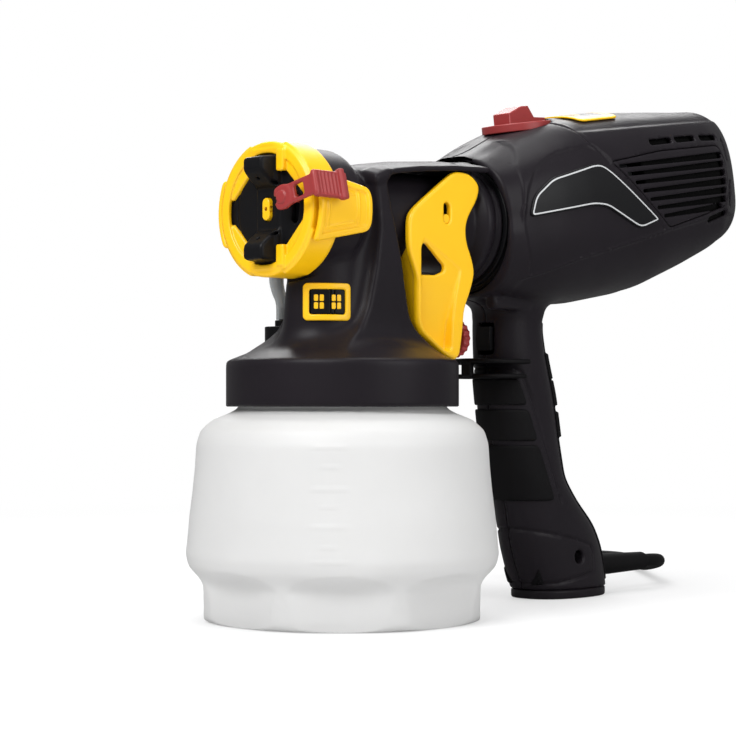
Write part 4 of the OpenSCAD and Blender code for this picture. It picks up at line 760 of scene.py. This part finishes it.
def spine(x, y, z):
    """The handle's back let out by 0.9 mm, and by 2.4 mm at the three pads."""
    body = handle_body(x, y, z)
    lifted = 0.9 + 1.5 * np.max([fade(np.abs(z - top + 6.5), 6.9, 5.9) for top in (124.2, 110.8, 94.8)], axis=0)
    d = soft_max(body - lifted, -(body + 0.02), 0.3)
    d = soft_max(d, np.abs(y) - 12.0, 1.0)
    d = soft_max(d, 126 - x, 0.5)
    return soft_max(d, np.abs(z - 73.5) - 66.5, 1.5)


grow("spine_strip_pads", spine, (124, -14, 3, 190, 14, 144), 0.62, "spine_strip")
pad_outlines = [
    Outline([(80, 111.6), (107, 111.6), (112.5, 97.8), (80, 97.8)], 3),
    Outline([(80, 96.2), (113, 96.2), (119.5, 80), (80, 80)], 3),
    Outline([(80, 78.4), (120, 78.4), (130, 54), (131, 50.6), (128, 50), (80, 50)], 3)]


def grip_pad(x, y, z):
    """The handle let out by 1.3 mm, inside the three outlines."""
    body = handle_body(x, y, z)
    d = soft_max(body - 1.3, -(body + 0.02), 0.4)
    pads = np.minimum.reduce([outline(x, z) for outline in pad_outlines])
    return soft_max(d, pads, 1.4)


grow("grip_pads_soft", grip_pad, (92, -21, 49, 140, 21, 113), 0.7, "grip_pads")
foot_plan = Loft([[0, 28, 28, 19], [5, 28, 28, 19]], 2.3, 1)


def foot_shape(x, y, z):
    """An oval carried up from the table to 5 mm, its upper edge set in by half a millimetre."""
    d = foot_plan(y, x - 155.5, z * 0)
    return soft_max(d + 0.5 * fade(z, 3.9, 4.4), np.abs(z - 2.49) - 2.47, 1.2)


grow("foot_base_plate", foot_shape, (125, -21, -1, 186, 21, 6.5), 0.7, "foot_base")

# %% [markdown]
# ## Spray head
# The front housing is one moulding: a lid band with a dome, a column up to the nozzle, two legs and a roof that arch
# over the barrel, and the barrel itself with the spigot of the coupling. The turned parts are outlines read at the
# distance from an axis, the legs are outlines seen from the side, and all of it runs together through fillets.

# %% The front housing
DUCT_R = 20.4
LID_BOTTOM = 97.3
PIVOT, AIR_TAP = (56, 202.5), (-20, 190)
SUCTION_X = -16
COLUMN_X, COLUMN_R = -15, 21
ARCH_R = 90
dome = Outline([
    (-8, 96), (0, 96), (53.6, 96), (53.6, 117), (52.8, 118.4), (45.6, 121.2), (38.6, 124), (32.6, 126), (-8, 126)], 2.2)
barrel = Outline([
    (-40, -6), (-40, 24.2), (-30.1, 24.2), (-30.1, 29), (-15, 29), (-5, 23), (66, 23), (70, 28.5), (74, 28.5),
    (75, 27), (77, 27), (78, 28.5), (79.7, 28.5), (79.7, 27.3), (88.8, 27.3), (88.8, 25.3), (92.2, 25.3),
    (92.2, 27.3), (97, 27.3), (97, -6)], 0.7, step=0.2)
leg = Outline([
    (-6, 203), (-2.5, 178), (-5, 160), (-9.6, 142), (-15, 132), (-24, 123), (-24, 119), (28, 119), (26, 126),
    (19.5, 134), (16.3, 139), (11.7, 162), (6, 182), (2, 199), (3.5, 206), (12, 214), (-12, 214)], 3)
roof_ridge = np.array([(-9, 202), (-5.5, 205.5), (-1, 207.4), (9, 209.8), (24, 212), (50, 214.4), (72, 215.2)]).T
ear = Outline([(51, 200.5), (61, 200.5), (63, 212.2), (49, 212.2)], 1)


def front_housing(x, y, z):
    """Dome, column, legs, roof and barrel added through fillets, and then the bores and slots cut."""
    up, r = about_axis(y, z)
    plan = reach(x, y)
    d = np.maximum(dome(plan, z), LID_BOTTOM - z)
    d = cut(d, np.maximum(plan - 50.2, z - 116.3), 0.8)
    ridge = np.abs((z - 108.75) - 2.75 * np.sign(z - 108.75))
    d = np.minimum(d, np.maximum(np.maximum(49.0 - plan + 0.6 * ridge, ridge - 1.4), plan - 51))
    d = cut(d, block(x, y, z, (20.5, -28, 118.4), (80, 28, 160), 1.0), 1.2)
    column = reach(np.minimum(x - COLUMN_X, 0), y) - COLUMN_R
    column = soft_max(soft_max(column, x - 4, 2), z - 177, 1)
    column = soft_max(column, 119 - z, 1)
    # The far side is flatter, which leaves room for the air hose
    column = soft_max(column, (y - x - 34.5 - 0.14 * (160 - z)) * 0.7, 5)
    column = cut(column, rod(y, up, x, 32, -60, -30.1, 0.4), 1.2)
    d = soft_min(d, column, 9)
    legs = soft_max(soft_max(leg(x, z), np.abs(np.abs(y) - 23.4) - 4.1, 1.6), plan - 49.6, 1)
    under_roof = z + y ** 2 / (2 * ARCH_R) - np.interp(x, *roof_ridge)
    legs = soft_max(legs, under_roof, 1.2)
    d = soft_min(d, legs, 9)
    top = soft_max(soft_max(under_roof, -2.7 - under_roof, 1.0), np.abs(x - 33.2) - 38.6, 1.2)
    top = soft_max(top, np.abs(y) - 27.5, 1.6)
    d = soft_min(d, top, 3)
    d = soft_min(d, block(x, y, z, (65.8, -15, 205), (71.8, 15, 214.2), 1), 1.5)
    d = np.minimum(d, soft_max(ear(x, z), np.abs(np.abs(y) - 21.6) - 2, 0.8))
    d = soft_min(d, cut(barrel(x, r), np.maximum(r - DUCT_R, -41 - x), 0.6), 2.2)
    d = cut(d, np.maximum(r - DUCT_R, np.abs(x - 28) - 69.9), 0.5)
    # The core that holds the needle stands on two thin vanes and on the pipe from below
    vanes = np.maximum(np.abs(y) - 1.2, np.maximum(r - 21, np.abs(x - 10) - 50))
    core = np.minimum(rod(y, up, x, 6.5, -40, 60, 0.6), vanes)
    d = np.minimum(d, np.minimum(core, rod(x - SUCTION_X, y, z, 5.4, 117, 185, 0.5)))
    bore_r = np.array([5.2, 3.2, 4.6, 2.1, 5.2])[np.searchsorted([-32, -8, 8, 50], x, side="right")]
    d = cut(d, np.maximum(r - bore_r, np.abs(x - 10) - 51), 0.3)
    d = cut(d, rod(x - SUCTION_X, y, z, 4.06, 110, 125, 0.3), 0.4)
    d = cut(d, rod(x - SUCTION_X, y, z, 2.8, 120, 185, 0.3), 0.3)
    d = cut(d, block(x, y, z, (39.3, -40, 182.5), (48.9, 40, 187.5), 0.8), 0.6)
    d = cut(d, hole(x, z, PIVOT, 2.52), 0.3)
    return cut(d, np.maximum(hole(x, z, AIR_TAP, 2), 25 - np.abs(y)), 0.3)


grow("front_housing_moulding", front_housing, (-56, -56, 95, 99, 56, 218), 1.14, "front_housing")

# %% [markdown]
# The ring, the air cap and the lever are the working face of the sprayer. The ring turns the cap between an upright
# and a level fan with two claws beside the horns, and the lever sets the width of the fan.

# %% Ring, air cap and lever
ring_section = Outline([
    (-48, 24.8), (-48, 29.2), (-47, 30.2), (-30.4, 30.2), (-30.4, 24.26), (-42, 24.26), (-42, 26.4), (-45.8, 26.4),
    (-45.8, 24.8)], 0.8, step=0.12)
lever_turn = math.radians(13)


def ring(x, y, z):
    """The turned section with four raised grips round it, and two claws beside the horns."""
    up, r = about_axis(y, z)
    d = ring_section(x, r)
    for angle in (45, 135, 225, 315):
        c, s = math.cos(math.radians(angle)), math.sin(math.radians(angle))
        u, v = y * c + up * s, -y * s + up * c
        wide = block(x, u, v, (-46.8, 20, -13), (-32.4, 40, 13), 1.2)
        d = soft_min(d, soft_max(wide, r - 31.3, 0.8), 0.7)
    claws = block(x, y, np.abs(up), (-49.2, -12.9, 16.2), (-46.4, -8.0, 26), 0.9)
    heel = block(x, y, np.abs(up), (-48.4, -12.9, 21.5), (-46.4, 9.0, 27), 0.8)
    return soft_min(d, np.minimum(claws, soft_max(heel, 24.9 - r, 0.4)), 0.8)


grow("nozzle_ring_grip", ring, (-51, -34, 151, -29, 34, 219), 0.55, "nozzle_ring")
horn = Outline([(-44.9, 9), (-48.4, 10), (-56, 16.5), (-56, 22.5), (-44.9, 24.2)], 1.8, step=0.12)


def air_cap(x, y, z):
    """A disc with a raised bar and two horns, from which the slot, the jets and the small holes are cut."""
    up, r = about_axis(y, z)
    d = rod(y, up, x, 26, -45.4, -42.8, 0.8)
    d = soft_min(d, block(x, y, up, (-46.2, -7.5, -22.5), (-44, 7.5, 22.5), 0.7), 0.8)
    d = soft_min(d, soft_max(block(x, y, np.abs(up), (-48, -7.5, 11), (-44, 7.5, 24), 1.0), r - 24.4, 0.8), 1.5)
    horns = soft_max(horn(x, np.abs(up)), np.abs(y) - 7.5 + 0.12 * (-44 - x), 1.6)
    d = soft_min(d, soft_max(horns, r - 24.4, 1), 1.6)
    d = cut(d, stroke(y, up, [(0, -2.7), (0, 2.7)], 2.5), 0.9)
    ahead, inward = x + 52.2, np.abs(up) - 13.25
    jet = reach(y, 0.76 * ahead - 0.65 * inward) - 0.9
    d = cut(d, np.maximum(jet, 0.65 * ahead + 0.76 * inward - 4), 0.4)
    angle = np.degrees(np.arctan2(up, -y))
    arc = reach(r - 17, 17 * np.radians(angle - np.clip(angle, -16, 17))) - 2.3
    d = cut(d, arc, 0.7)
    for a in np.radians((60, 120, 240, 300)):
        d = cut(d, hole(y, up, (13 * math.cos(a), 13 * math.sin(a)), 0.9), 0.5)
    return cut(d, reach(r - 21.5, x + 45.4) - 0.45, 0.3)


grow("air_cap_horned", air_cap, (-58, -28, 157, -41, 28, 213), 0.5, "air_cap")


def lever(x, y, z):
    """In the lever's own turned plane: a flat arm with a hub, a ribbed shank, a tab, and the peg it turns on."""
    up = z - AXIS_Z
    t = -y * math.cos(lever_turn) + up * math.sin(lever_turn)
    w = y * math.sin(lever_turn) + up * math.cos(lever_turn)
    arm = block(x, t, w, (-53.2, 13, -4.6), (-51.2, 38.8, 4.6), 0.8)
    arm = soft_min(arm, rod(t - 17, w, x, 5.4, -53.2, -51.2, 0.7), 1.5)
    arm = cut(arm, block(x, t, w, (-60, 25, -2.9), (-50, 31, 2.9), 1.2), 0.7)
    arm = cut(arm, block(x, t, w, (-60, 8, -1.5), (-50, 13.4, 1.5), 0.7), 0.7)
    shank = block(x, t, w, (-53.2, 36.4, -6), (-33.2, 38.8, 6), 0.9)
    ribs = 0.35 * (0.5 + 0.5 * np.cos(x * 2 * np.pi / 2.2)) * fade(6 - np.abs(w), 0.8, 1.6)
    ribs = ribs * fade(x, -51.5, -50) * fade(-x, 34.5, 35.5)
    tab = block(x, t, w, (-39.2, 37.5, -7), (-36.2, 40.8, 7), 0.9)
    peg = rod(t - 17, w, x, 1.75, -53.8, -40.3, 0.5)
    head = rod(t - 17, w, x, 3.0, -54.2, -52.8, 0.6)
    d = soft_min(soft_min(arm, shank + ribs * (t > 37.6), 1.4), tab, 0.9)
    return np.minimum(np.minimum(d, peg), head)


grow("width_lever_ribbed", lever, (-56, -43, 181, -31, -10, 206), 0.45, "width_lever")

# %% [markdown]
# The fairings are thin curved plates on each side of the barrel, with a tapered panel set into them.

# %% Fairings
fairing_outline = Outline([
    (-46, 169), (-46, 200.5), (-16, 194.5), (-14.5, 191), (-14.5, 178), (-16, 175)], 2.5, step=0.2)


def fairing(x, y, z, side):
    """Part of a tube round the barrel's axis, inside the outline, with its panel set in, on a narrower foot."""
    r = about_axis(y, z)[1]
    edge = fairing_outline(x, z)
    inset = 0.9 * fade(-edge, 2.4, 3.2)
    lines = 0.6 * fade(1.1 - np.abs(x + 22.5), 0, 0.7) * fade(-edge, 3.4, 4.4)
    lines = lines + 0.5 * fade(0.9 - np.abs(-edge - 5.2), 0, 0.6) * fade(-x, 24.5, 25.2)
    plate = soft_max(np.maximum(r - 34.4 + inset - lines, 32.0 - r), edge, 0.9)
    foot = np.maximum(soft_max(np.maximum(r - 33, 29.06 - r), edge, 0.5), np.abs(x + 21.7) - 6.2)
    d = soft_min(plate, foot, 0.5)
    return cut(d, np.maximum(hole(x, z, AIR_TAP, 2.4), -y), 0.3)


grow_pair("fairing", "plate", fairing, (-48, 20, 166, -12, 36, 203), 0.5)

# %% [markdown]
# The trigger is a channel of two cheeks and a web, moulded in one piece. Each cheek has a three-cornered window, the
# slot for the needle's cross pin, and a dish below a fold that the fingers find.

# %% Trigger
KNOB_Z = 130.5
cheek = Outline([
    (47, 207.5), (56, 207.5), (61, 205.5), (65, 201.5), (63, 195), (57, 187), (55, 182), (55.5, 175), (60, 166),
    (61.3, 160), (58.5, 152), (54, 143), (53, 133), (50.5, 119.6), (42, 120.6), (25.5, 131), (23, 136), (22.8, 156),
    (20, 162), (16.6, 169.5), (16.4, 181), (17.5, 186), (22, 190)], 4, step=0.2)
window = Outline([
    (24.9, 158.2), (24.9, 171), (26.6, 173), (29, 172.6), (41, 163), (41, 160.4), (36, 158.4)], 1.6, step=0.15)
dish = Outline([
    (24.4, 171), (26.5, 175.5), (52, 161.8), (48.5, 151), (45.8, 137), (45.2, 124), (42, 123), (27, 132.4),
    (24.4, 137)], 1.5, step=0.2)
web = Outline([
    (20.5, 182), (20.8, 168), (22.8, 158), (23, 136), (25.5, 131), (42, 120.6), (50.5, 119.6), (51, 122.5),
    (43.5, 123.2), (28, 132.6), (26, 136.8), (25.8, 159), (23.8, 168), (23.5, 182)], 1.0, step=0.2)


def trigger(x, y, z):
    """Cheeks and web, each an outline with a thickness, joined through a fillet, and then dished and cut."""
    a = np.abs(y)
    side = cheek(x, z)
    # Below the fold the dish gets steadily deeper, and the cheek's inner face follows it
    below_fold = 0.473 * (26.5 - x) + 0.881 * (175.5 - z)
    deeper = 3.9 * fade(below_fold, 0, 36)
    step = dish(x, z)
    cheeks = soft_max(soft_max(side, a - 27, 1.4), a - 27 + (0.5 + deeper) * (1 - fade(step, -1.0, 0.2)), 0.2)
    cheeks = soft_max(cheeks, 24 - deeper * (1 - fade(step, -0.2, 1.8)) - a, 0.6)
    front = soft_max(web(x, z), a - 25, 0.6)
    front = soft_max(front, 24.8 - about_axis(y, z)[1], 0.8)
    d = soft_min(cheeks, front, 1.6)
    d = soft_min(d, block(x, y, z, (47, -24.6, 123.5), (50, 24.6, 137.5), 0.6), 1.2)
    d = cut(d, np.maximum(window(x, z), 18 - a), 0.8)
    d = cut(d, np.maximum(stroke(x, z, [(42, 185), (42, 190.3)], 2.35), 22 - a), 0.6)
    d = cut(d, np.maximum(hole(x, z, PIVOT, 2.56), a - 26.1), 0.4)
    return cut(d, rod(y, z - KNOB_Z, x, 2.56, 40, 60), 0.4)


def pivot_pin(x, y, z):
    """A cylinder from cheek to cheek with rounded ends."""
    return rod(x - PIVOT[0], z - PIVOT[1], y, 2.48, -25.9, 25.9, 0.5)


grow("pivot_pin_turned", pivot_pin, (52, -27, 199, 60, 27, 206), 0.4, "pivot_pin")
grow("trigger_moulding", trigger, (14, -29, 117, 67, 29, 210), 0.66, "trigger")

# %% [markdown]
# The flow knob is a ribbed cap on a screw; the ribs are a wave round its edge.

# %% Flow knob
def knob(x, y, z):
    """A cylinder with 18 waves on its radius and a slightly domed end, on its stepped screw."""
    up = z - KNOB_Z
    turn = np.arctan2(up, y)
    wave = 0.42 * np.cos(18 * turn) * fade(x, 73.8, 74.4) * fade(-x, -78.2, -77.6)
    head = soft_max(reach(y, up) - 9.1 - wave, np.maximum(73.6 - x, x - 79 + 0.012 * reach(y, up) ** 2), 1.1)
    return np.minimum(np.minimum(head, rod(y, up, x, 2.5, 40, 74, 0.4)), rod(y, up, x, 4.5, 52, 74, 0.6))


grow("flow_knob_ribbed", knob, (38, -11, 119, 81, 11, 142), 0.5, "flow_knob")

# %% [markdown]
# ## Container
# The container is blow moulded, so it is a thin skin turned about an upright axis: a wide shoulder at the foot, a
# straight wall that narrows a little, and a neck with a thread. Eight flats round the foot have arched tops, and a
# scale of short and long marks stands on the front. A grid of turns by heights gives all of it, with the flats and
# marks as changes of the radius.

# %% The container's skin
def smooth_line(points, steps, rounds=3):
    """A line through points, resampled evenly and softened: each point goes to (before + 2 own + after) / 4."""
    points = np.array(points, float)
    length = np.r_[0, np.cumsum(np.linalg.norm(np.diff(points, axis=0), axis=1))]
    at = np.linspace(0, length[-1], steps)
    line = np.stack([np.interp(at, length, column) for column in points.T], 1)
    for _ in range(rounds):
        line[1:-1] = (line[:-2] + 2 * line[1:-1] + line[2:]) / 4
    return line


outer = smooth_line([
    (0, 1.4), (30, 1.4), (56, 1.2), (59, 0), (63.5, 0), (65.5, 2), (65.6, 8.6), (66.2, 14.2), (67.4, 19.7),
    (70.9, 25.2), (72, 30), (71.3, 36.3), (70.3, 47.3), (68.9, 58.4), (67.8, 69.5), (67.1, 80.5), (65.2, 86.5),
    (60, 91.2), (51.5, 94.6), (47.9, 96.8), (47.5, 99), (47.5, 114)], 210)
inner = smooth_line([
    (45.2, 114), (45.2, 98), (46, 95), (50, 92), (58, 88.8), (62.6, 85), (64.4, 80), (65.2, 69.5), (66.2, 58.4),
    (67.6, 47.3), (68.7, 36.3), (69.3, 30), (68.3, 26.6), (65.6, 24), (63.2, 21.4), (61, 18), (60.6, 14.2),
    (60.6, 8), (58.8, 3.6), (55, 3.4), (30, 3.4), (0, 3.4)], 150)
TURNS, FLATS, FLAT_AT = 256, 8, 62.4
turn = np.arange(TURNS) * 2 * np.pi / TURNS
line = np.concatenate([outer, inner])[:, None, :]
outside = (np.arange(len(outer) + len(inner)) < len(outer))[:, None]
r, z = np.broadcast_to(line[..., 0], (len(line), TURNS)).copy(), np.broadcast_to(line[..., 1], (len(line), TURNS))
flat = 2 * np.pi / FLATS
across = (np.mod(turn + flat / 2, flat) - flat / 2)[None, :]
# Each flat leans outwards from a height of 16 mm on, so that it leaves the wall in an arch
plane = (FLAT_AT + 0.115 * np.maximum(z - 16, 0) ** 2) / np.cos(across)
r = np.where(outside & (r > 60), soft_min(r, plane, 0.25), r)
# The scale faces the same way as the front left corner of the sprayer
scale_turn = math.radians(221.3)
for height, half in [(h, 8.4) for h in (80.1, 62, 45.8, 30.7)] + [(h, 4.6) for h in (71.2, 54.3, 37.2)]:
    away = np.mod(turn - scale_turn + np.pi, 2 * np.pi) - np.pi
    mark = fade(half - np.abs(away[None, :]) * 69, 0, 1.5) * fade(0.75 - np.abs(z - height), 0, 0.5)
    r = r + 0.4 * mark * outside * (r > 60)
thread = np.maximum(0, 1.6 - np.abs(z - 109)) + np.maximum(0, 1.6 - np.abs(z - 103.5))
r = r + np.minimum(thread, 1.1) / 1.1 * 1.15 * outside * (r > 45) * (z > 100)
points = np.stack([r * np.cos(turn), r * np.sin(turn), z], 2)


def close_rings(name, points, rings, around):
    """A closed mesh from rings of points, each joined to the next. Points that meet at poles are merged, and all
    faces turned outwards."""
    i, j = np.meshgrid(np.arange(rings - 1), np.arange(around), indexing="ij")
    k = (j + 1) % around
    faces = np.stack([i * around + j, i * around + k, (i + 1) * around + k, (i + 1) * around + j], -1)
    made = add_mesh(name, points.reshape(-1, 3), faces.reshape(-1, 4))
    net = bmesh.new()
    net.from_mesh(made.data)
    bmesh.ops.remove_doubles(net, verts=net.verts, dist=1e-6)
    bmesh.ops.recalc_face_normals(net, faces=net.faces)
    net.to_mesh(made.data)
    net.free()
    return made


take_over(close_rings("container_skin", points, len(line), TURNS), "container")

# %% [markdown]
# ## Small pieces that show
# A pill-shaped insert fills the slot of the air cap in front of the nozzle and turns with the cap. The finger rest is
# two thin fins round the front of the grip, each of them what two overlapping discs share.

# %% Cap insert and finger rest
def insert(x, y, z):
    """A pill-shaped stud with a thin flange, hollow from behind for the nozzle and bored through."""
    up, r = about_axis(y, z)
    pill = stroke(y, up, [(0, -2.7), (0, 2.7)], 0)
    d = soft_max(pill - 2.35, np.abs(x + 45.9) - 1.9, 0.8)
    d = soft_min(d, np.maximum(pill - 2.6, np.abs(x + 44.4) - 0.4), 0.2)
    return cut(cut(d, np.maximum(r - 2.6, -46.9 - x), 0.2), r - 0.95, 0.4)


grow("air_cap_insert", insert, (-49, -5, 178, -42, 5, 192), 0.3, "nozzle_ring", stands_in=False)


def finger_rest(x, y, z):
    """Two fins, each what two discs share in plan within a thin band of height, joined by a bar in front."""
    plan = soft_max(soft_max(reach(x - 114, y) - 30, reach(x - 104, y) - 22, 1), x - 109, 1)
    rise = 0.004 * np.maximum(96 - x, 0) ** 2
    upper = soft_max(plan, np.abs(z - 119.4 - rise) - 1.15, 1.0)
    lower = soft_max(plan + 1.5, np.abs(z - 112.3 + 0.6 * rise) - 1.15, 1.0)
    d = np.minimum(upper, lower)
    d = soft_min(d, block(x, y, z, (84, -3, 112), (87.5, 3, 120), 0.8), 1.0)
    return cut(d, handle_body(x, y, z) - 0.05, 0.4)


grow("finger_rest_fins", finger_rest, (78, -26, 108, 112, 26, 125), 0.6, "finger_rest")

# %% [markdown]
# The air hose and the needle's spring are round sections carried along a line. A curve object with a bevel would give
# the same shape, but as rings of points the hose gets its bore and both get closed ends in one go. The spring is
# drawn pressed together, as it is with the trigger pulled, so that the needle's collar never runs into it.

# %% Air hose and needle spring
def swept(name, route, rows, radii, toward, around=28):
    """Rings round the points of a route, joined one to the next: p + r (n cos t + b sin t), where n is the direction
    `toward` without its part along the route, and b stands at right angles to n and the route."""
    along = np.gradient(route, axis=0)
    along /= np.linalg.norm(along, axis=1, keepdims=True)
    first = toward - (along @ toward)[:, None] * along
    first /= np.linalg.norm(first, axis=1, keepdims=True)
    second = np.cross(along, first)
    t = np.arange(around)[:, None] * 2 * np.pi / around
    ring = first[rows][:, None] * np.cos(t) + second[rows][:, None] * np.sin(t)
    points = route[rows][:, None] + np.asarray(radii)[:, None, None] * ring
    return close_rings(name, points, len(rows), around)


hose_route = smooth_line([
    (-12.2, 38.2, 190), (-9, 38.2, 190), (-5.5, 38.2, 190), (-2, 38.4, 189.4), (1, 38.8, 187), (2, 39.4, 182),
    (0.6, 40.2, 174), (-2.4, 41, 165), (-4, 41, 157), (-4.2, 39.2, 151.5), (-4, 37.2, 148), (-4, 36.5, 145),
    (-4, 36.5, 138.4)], 120, 12)
n = len(hose_route)
bulge = 3 + 0.5 * fade(np.minimum(np.arange(n), n - 1 - np.arange(n)), 18, 40)
hose = swept("air_hose_clear", hose_route, np.r_[0:n, n - 1:-1:-1, 0], np.r_[bulge, bulge[::-1] - 1, bulge[0]],
             np.array([0.0, 1, 0]))
take_over(hose, "air_hose")
n = 145
share = np.linspace(0, 1, n)
coil = np.stack([54.9 + 3.15 * share, 4.25 * np.cos(8 * np.pi * share), AXIS_Z + 4.25 * np.sin(8 * np.pi * share)], 1)
spring = swept("needle_spring_pressed", coil, np.r_[0, 0:n, n - 1], np.r_[0, np.full(n, 0.33), 0],
               np.array([1.0, 0, 0]), 12)
take_over(spring, "needle_spring")

# %% [markdown]
# The label on the column is a curved frame with two plain marks on a dark panel. A flat label bent afterwards would
# give the same, but here each is cut from a thin tube round the column's axis, with the length round the tube as one
# of its two directions.

# %% Label
LABEL_Z = 144


def on_column(x, y):
    """Radius from the column's axis, and the arc length round it from the label's middle."""
    a, c, s = x - COLUMN_X, math.cos(math.radians(237)), math.sin(math.radians(237))
    return reach(a, y), COLUMN_R * np.arctan2(y * c - a * s, a * c + y * s)


def label_frame(x, y, z):
    """The rim and the two marks on the unrolled column, each with its own thickness."""
    r, arc = on_column(x, y)
    up = z - LABEL_Z
    rim = cut(patch(arc, up, (-11, -8.4), (11, 8.4), 2.2), patch(arc, up, (-8.2, -5.6), (8.2, 5.6), 1.2), 0.3)
    # Two marks of four small oblongs each
    a, b = np.abs(arc) - 3.9, np.abs(up) - 1.75
    marks = np.minimum(patch(a, b, (-2.2, -1.5), (-0.3, 1.5), 0.5), patch(a, b, (0.3, -1.5), (2.2, 1.5), 0.5))
    shape = np.minimum(soft_max(rim, r - 22.15, 0.8), soft_max(marks, r - 21.8, 0.3))
    return soft_max(shape, 21.06 - r, 0.2)


def label_panel(x, y, z):
    """A rounded rectangle on the unrolled column, half a millimetre thick."""
    r, arc = on_column(x, y)
    return soft_max(patch(arc, z - LABEL_Z, (-8.1, -5.5), (8.1, 5.5), 1.2), np.abs(r - 21.3) - 0.25, 0.2)


label_box = (-40, -28, 134, -12, -8, 154)
grow("label_frame_rim", label_frame, label_box, 0.32, "label_frame")
grow("label_panel_plate", label_panel, label_box, 0.4, "label_panel")

# %% [markdown]
# ## The other pieces
# What is left are turned and cut parts: shafts, bearings, screws, seals, the turbine inside and the switch. Their
# shapes are already right, so they are copied with broken edges, as the plug was.

# %% Copies of the turned and cut parts
edge_width = {"selector": 0.7, "power_switch": 0.6, "valve_cap": 0.5, "hose_elbow": 0.5, "mouth_ring": 0.5,
              "strain_relief": 0.4, "inner_lead": 0}
for name in sorted(nodes.keys() - replaced):
    take_over(plug_pieces.get(name) or with_broken_edges(name, edge_width.get(name, 0.2)), name)

# %% [markdown]
# ## Finishes

# %% Moulded plastics
def moulded(name, base, rough, grain, mottle):
    """Plastic from a steel mould: spark-eroded grain a few tenths of a millimetre wide, a slow drift of the colour
    where the melt ran, and dull and polished patches from handling."""
    t = material_tree(name)
    drift = t.noise(28, 3)
    handled = t.noise(65, 4, stretch=(1, 1, 0.45))
    fine = t.noise(2600, 2)
    scratch = t.noise(900, 2, stretch=(1, 0.06, 0.3)).rise(0.66, 0.74)
    dark = tuple(c * (1 - mottle) for c in base)
    light = tuple(min(1, c * (1 + mottle)) for c in base)
    return t, {
        "Base Color": t.blend(drift, dark, light),
        "Roughness": rough + (handled - 0.5) * 0.1 + (fine - 0.5) * 0.05 + scratch * 0.06,
        "Normal": t.bump(fine, grain),
    }


PRINT_BLACK = (0.006, 0.006, 0.007)
metallic = {"Metallic": 1.0}
low_sheen = {"Specular IOR Level": 0.13}
fixed = {"steel": metallic, "brass": metallic, "impeller_aluminium": metallic, "charcoal_plastic": low_sheen,
         "black_plastic": low_sheen, "black_rubber": low_sheen, "foam": {"Specular IOR Level": 0.03},
         "clear_plastic": {"Transmission Weight": 0.6}}
finishes = {}
for slot, base, rough, grain, mottle in (
    ("charcoal_plastic", (0.0125, 0.0103, 0.0132), 0.38, 0.00004, 0.22),
    ("black_plastic", PRINT_BLACK, 0.36, 0.00003, 0.2),
    ("yellow_plastic", (0.93, 0.52, 0.002), 0.36, 0.00002, 0.06),
    ("red_plastic", (0.30, 0.030, 0.030), 0.40, 0.00003, 0.10),
    ("white_plastic", (0.72, 0.72, 0.70), 0.42, 0.00003, 0.04),
    ("casing_plastic", (0.05, 0.05, 0.055), 0.5, 0.00004, 0.2),
    ("black_rubber", (0.0042, 0.0038, 0.0045), 0.60, 0.00006, 0.2),
    ("red_rubber", (0.33, 0.035, 0.03), 0.6, 0.00005, 0.12),
    ("foam", (0.007, 0.007, 0.007), 0.9, 0.0003, 0.3),
    ("clear_plastic", (0.50, 0.52, 0.53), 0.18, 0.00001, 0.02),
    ("steel", (0.55, 0.55, 0.56), 0.28, 0.00001, 0.05),
    ("brass", (0.75, 0.52, 0.22), 0.3, 0.00001, 0.06),
    ("impeller_aluminium", (0.72, 0.73, 0.74), 0.32, 0.00001, 0.05),
):
    t, sockets = moulded(slot, base, rough, grain, mottle)
    if slot == "yellow_plastic":
        # The top plate has a printed field, kept as a value at each vertex; it is 0 on all other pieces
        printed = t.node("Attribute", {"attribute_name": "print"}, None, out="Fac")
        sockets["Base Color"] = t.blend(printed.rise(0.4, 0.6), sockets["Base Color"], PRINT_BLACK)
    finishes[slot] = t.surface({**sockets, **fixed.get(slot, {})})

# %% [markdown]
# The badges are dark matt prints with a pale line 1 mm wide, 0.8 mm inside the edge.

# %% Badge print
t, sockets = moulded("badge_print", PRINT_BLACK, 0.42, 0.000008, 0.1)
inside = t.node("Attribute", {"attribute_name": "edge"}, None, out="Fac")
border = inside.rise(0.8, 0.95) * (1.0 - inside.rise(1.5, 1.65))
sockets["Base Color"] = t.blend(border, PRINT_BLACK, (0.55, 0.56, 0.57))
finishes["badge_print"] = t.surface({**sockets, "Specular IOR Level": 0.2})

# %% [markdown]
# The container is natural polyethylene: milky, so light passes through it but shapes behind it don't show. Blowing
# leaves faint bands round it and a parting line at the sides.

# %% Milky container
t = material_tree("container_plastic")
px, py, _ = t.xyz()
bands = t.noise(1.0, 3, stretch=(2, 2, 120))
cloud = t.noise(30, 3)
fine = t.noise(1800, 2)
parting = 1.0 - abs(px + py).rise(0.0002, 0.0006)
finishes["container_plastic"] = t.surface({
    "Base Color": t.blend(cloud, (0.75, 0.75, 0.745), (0.81, 0.81, 0.805)),
    "Roughness": 0.46 + (bands - 0.5) * 0.1 + (cloud - 0.5) * 0.06, "Specular IOR Level": 0.3,
    "Normal": t.bump(bands * 0.6 + fine * 0.2 + parting * 0.4, 0.00012, 0.5),
    "Transmission Weight": 0.28, "IOR": 1.5,
})

# %% Give every piece its finish
for made, slot in finished:
    made.data.materials.clear()
    made.data.materials.append(finishes[slot])
lead_data.materials.append(finishes["black_rubber"])
for name, node in nodes.items():
    node.data.materials.clear()
    node.data.materials.append(finishes[slot_of[name]])
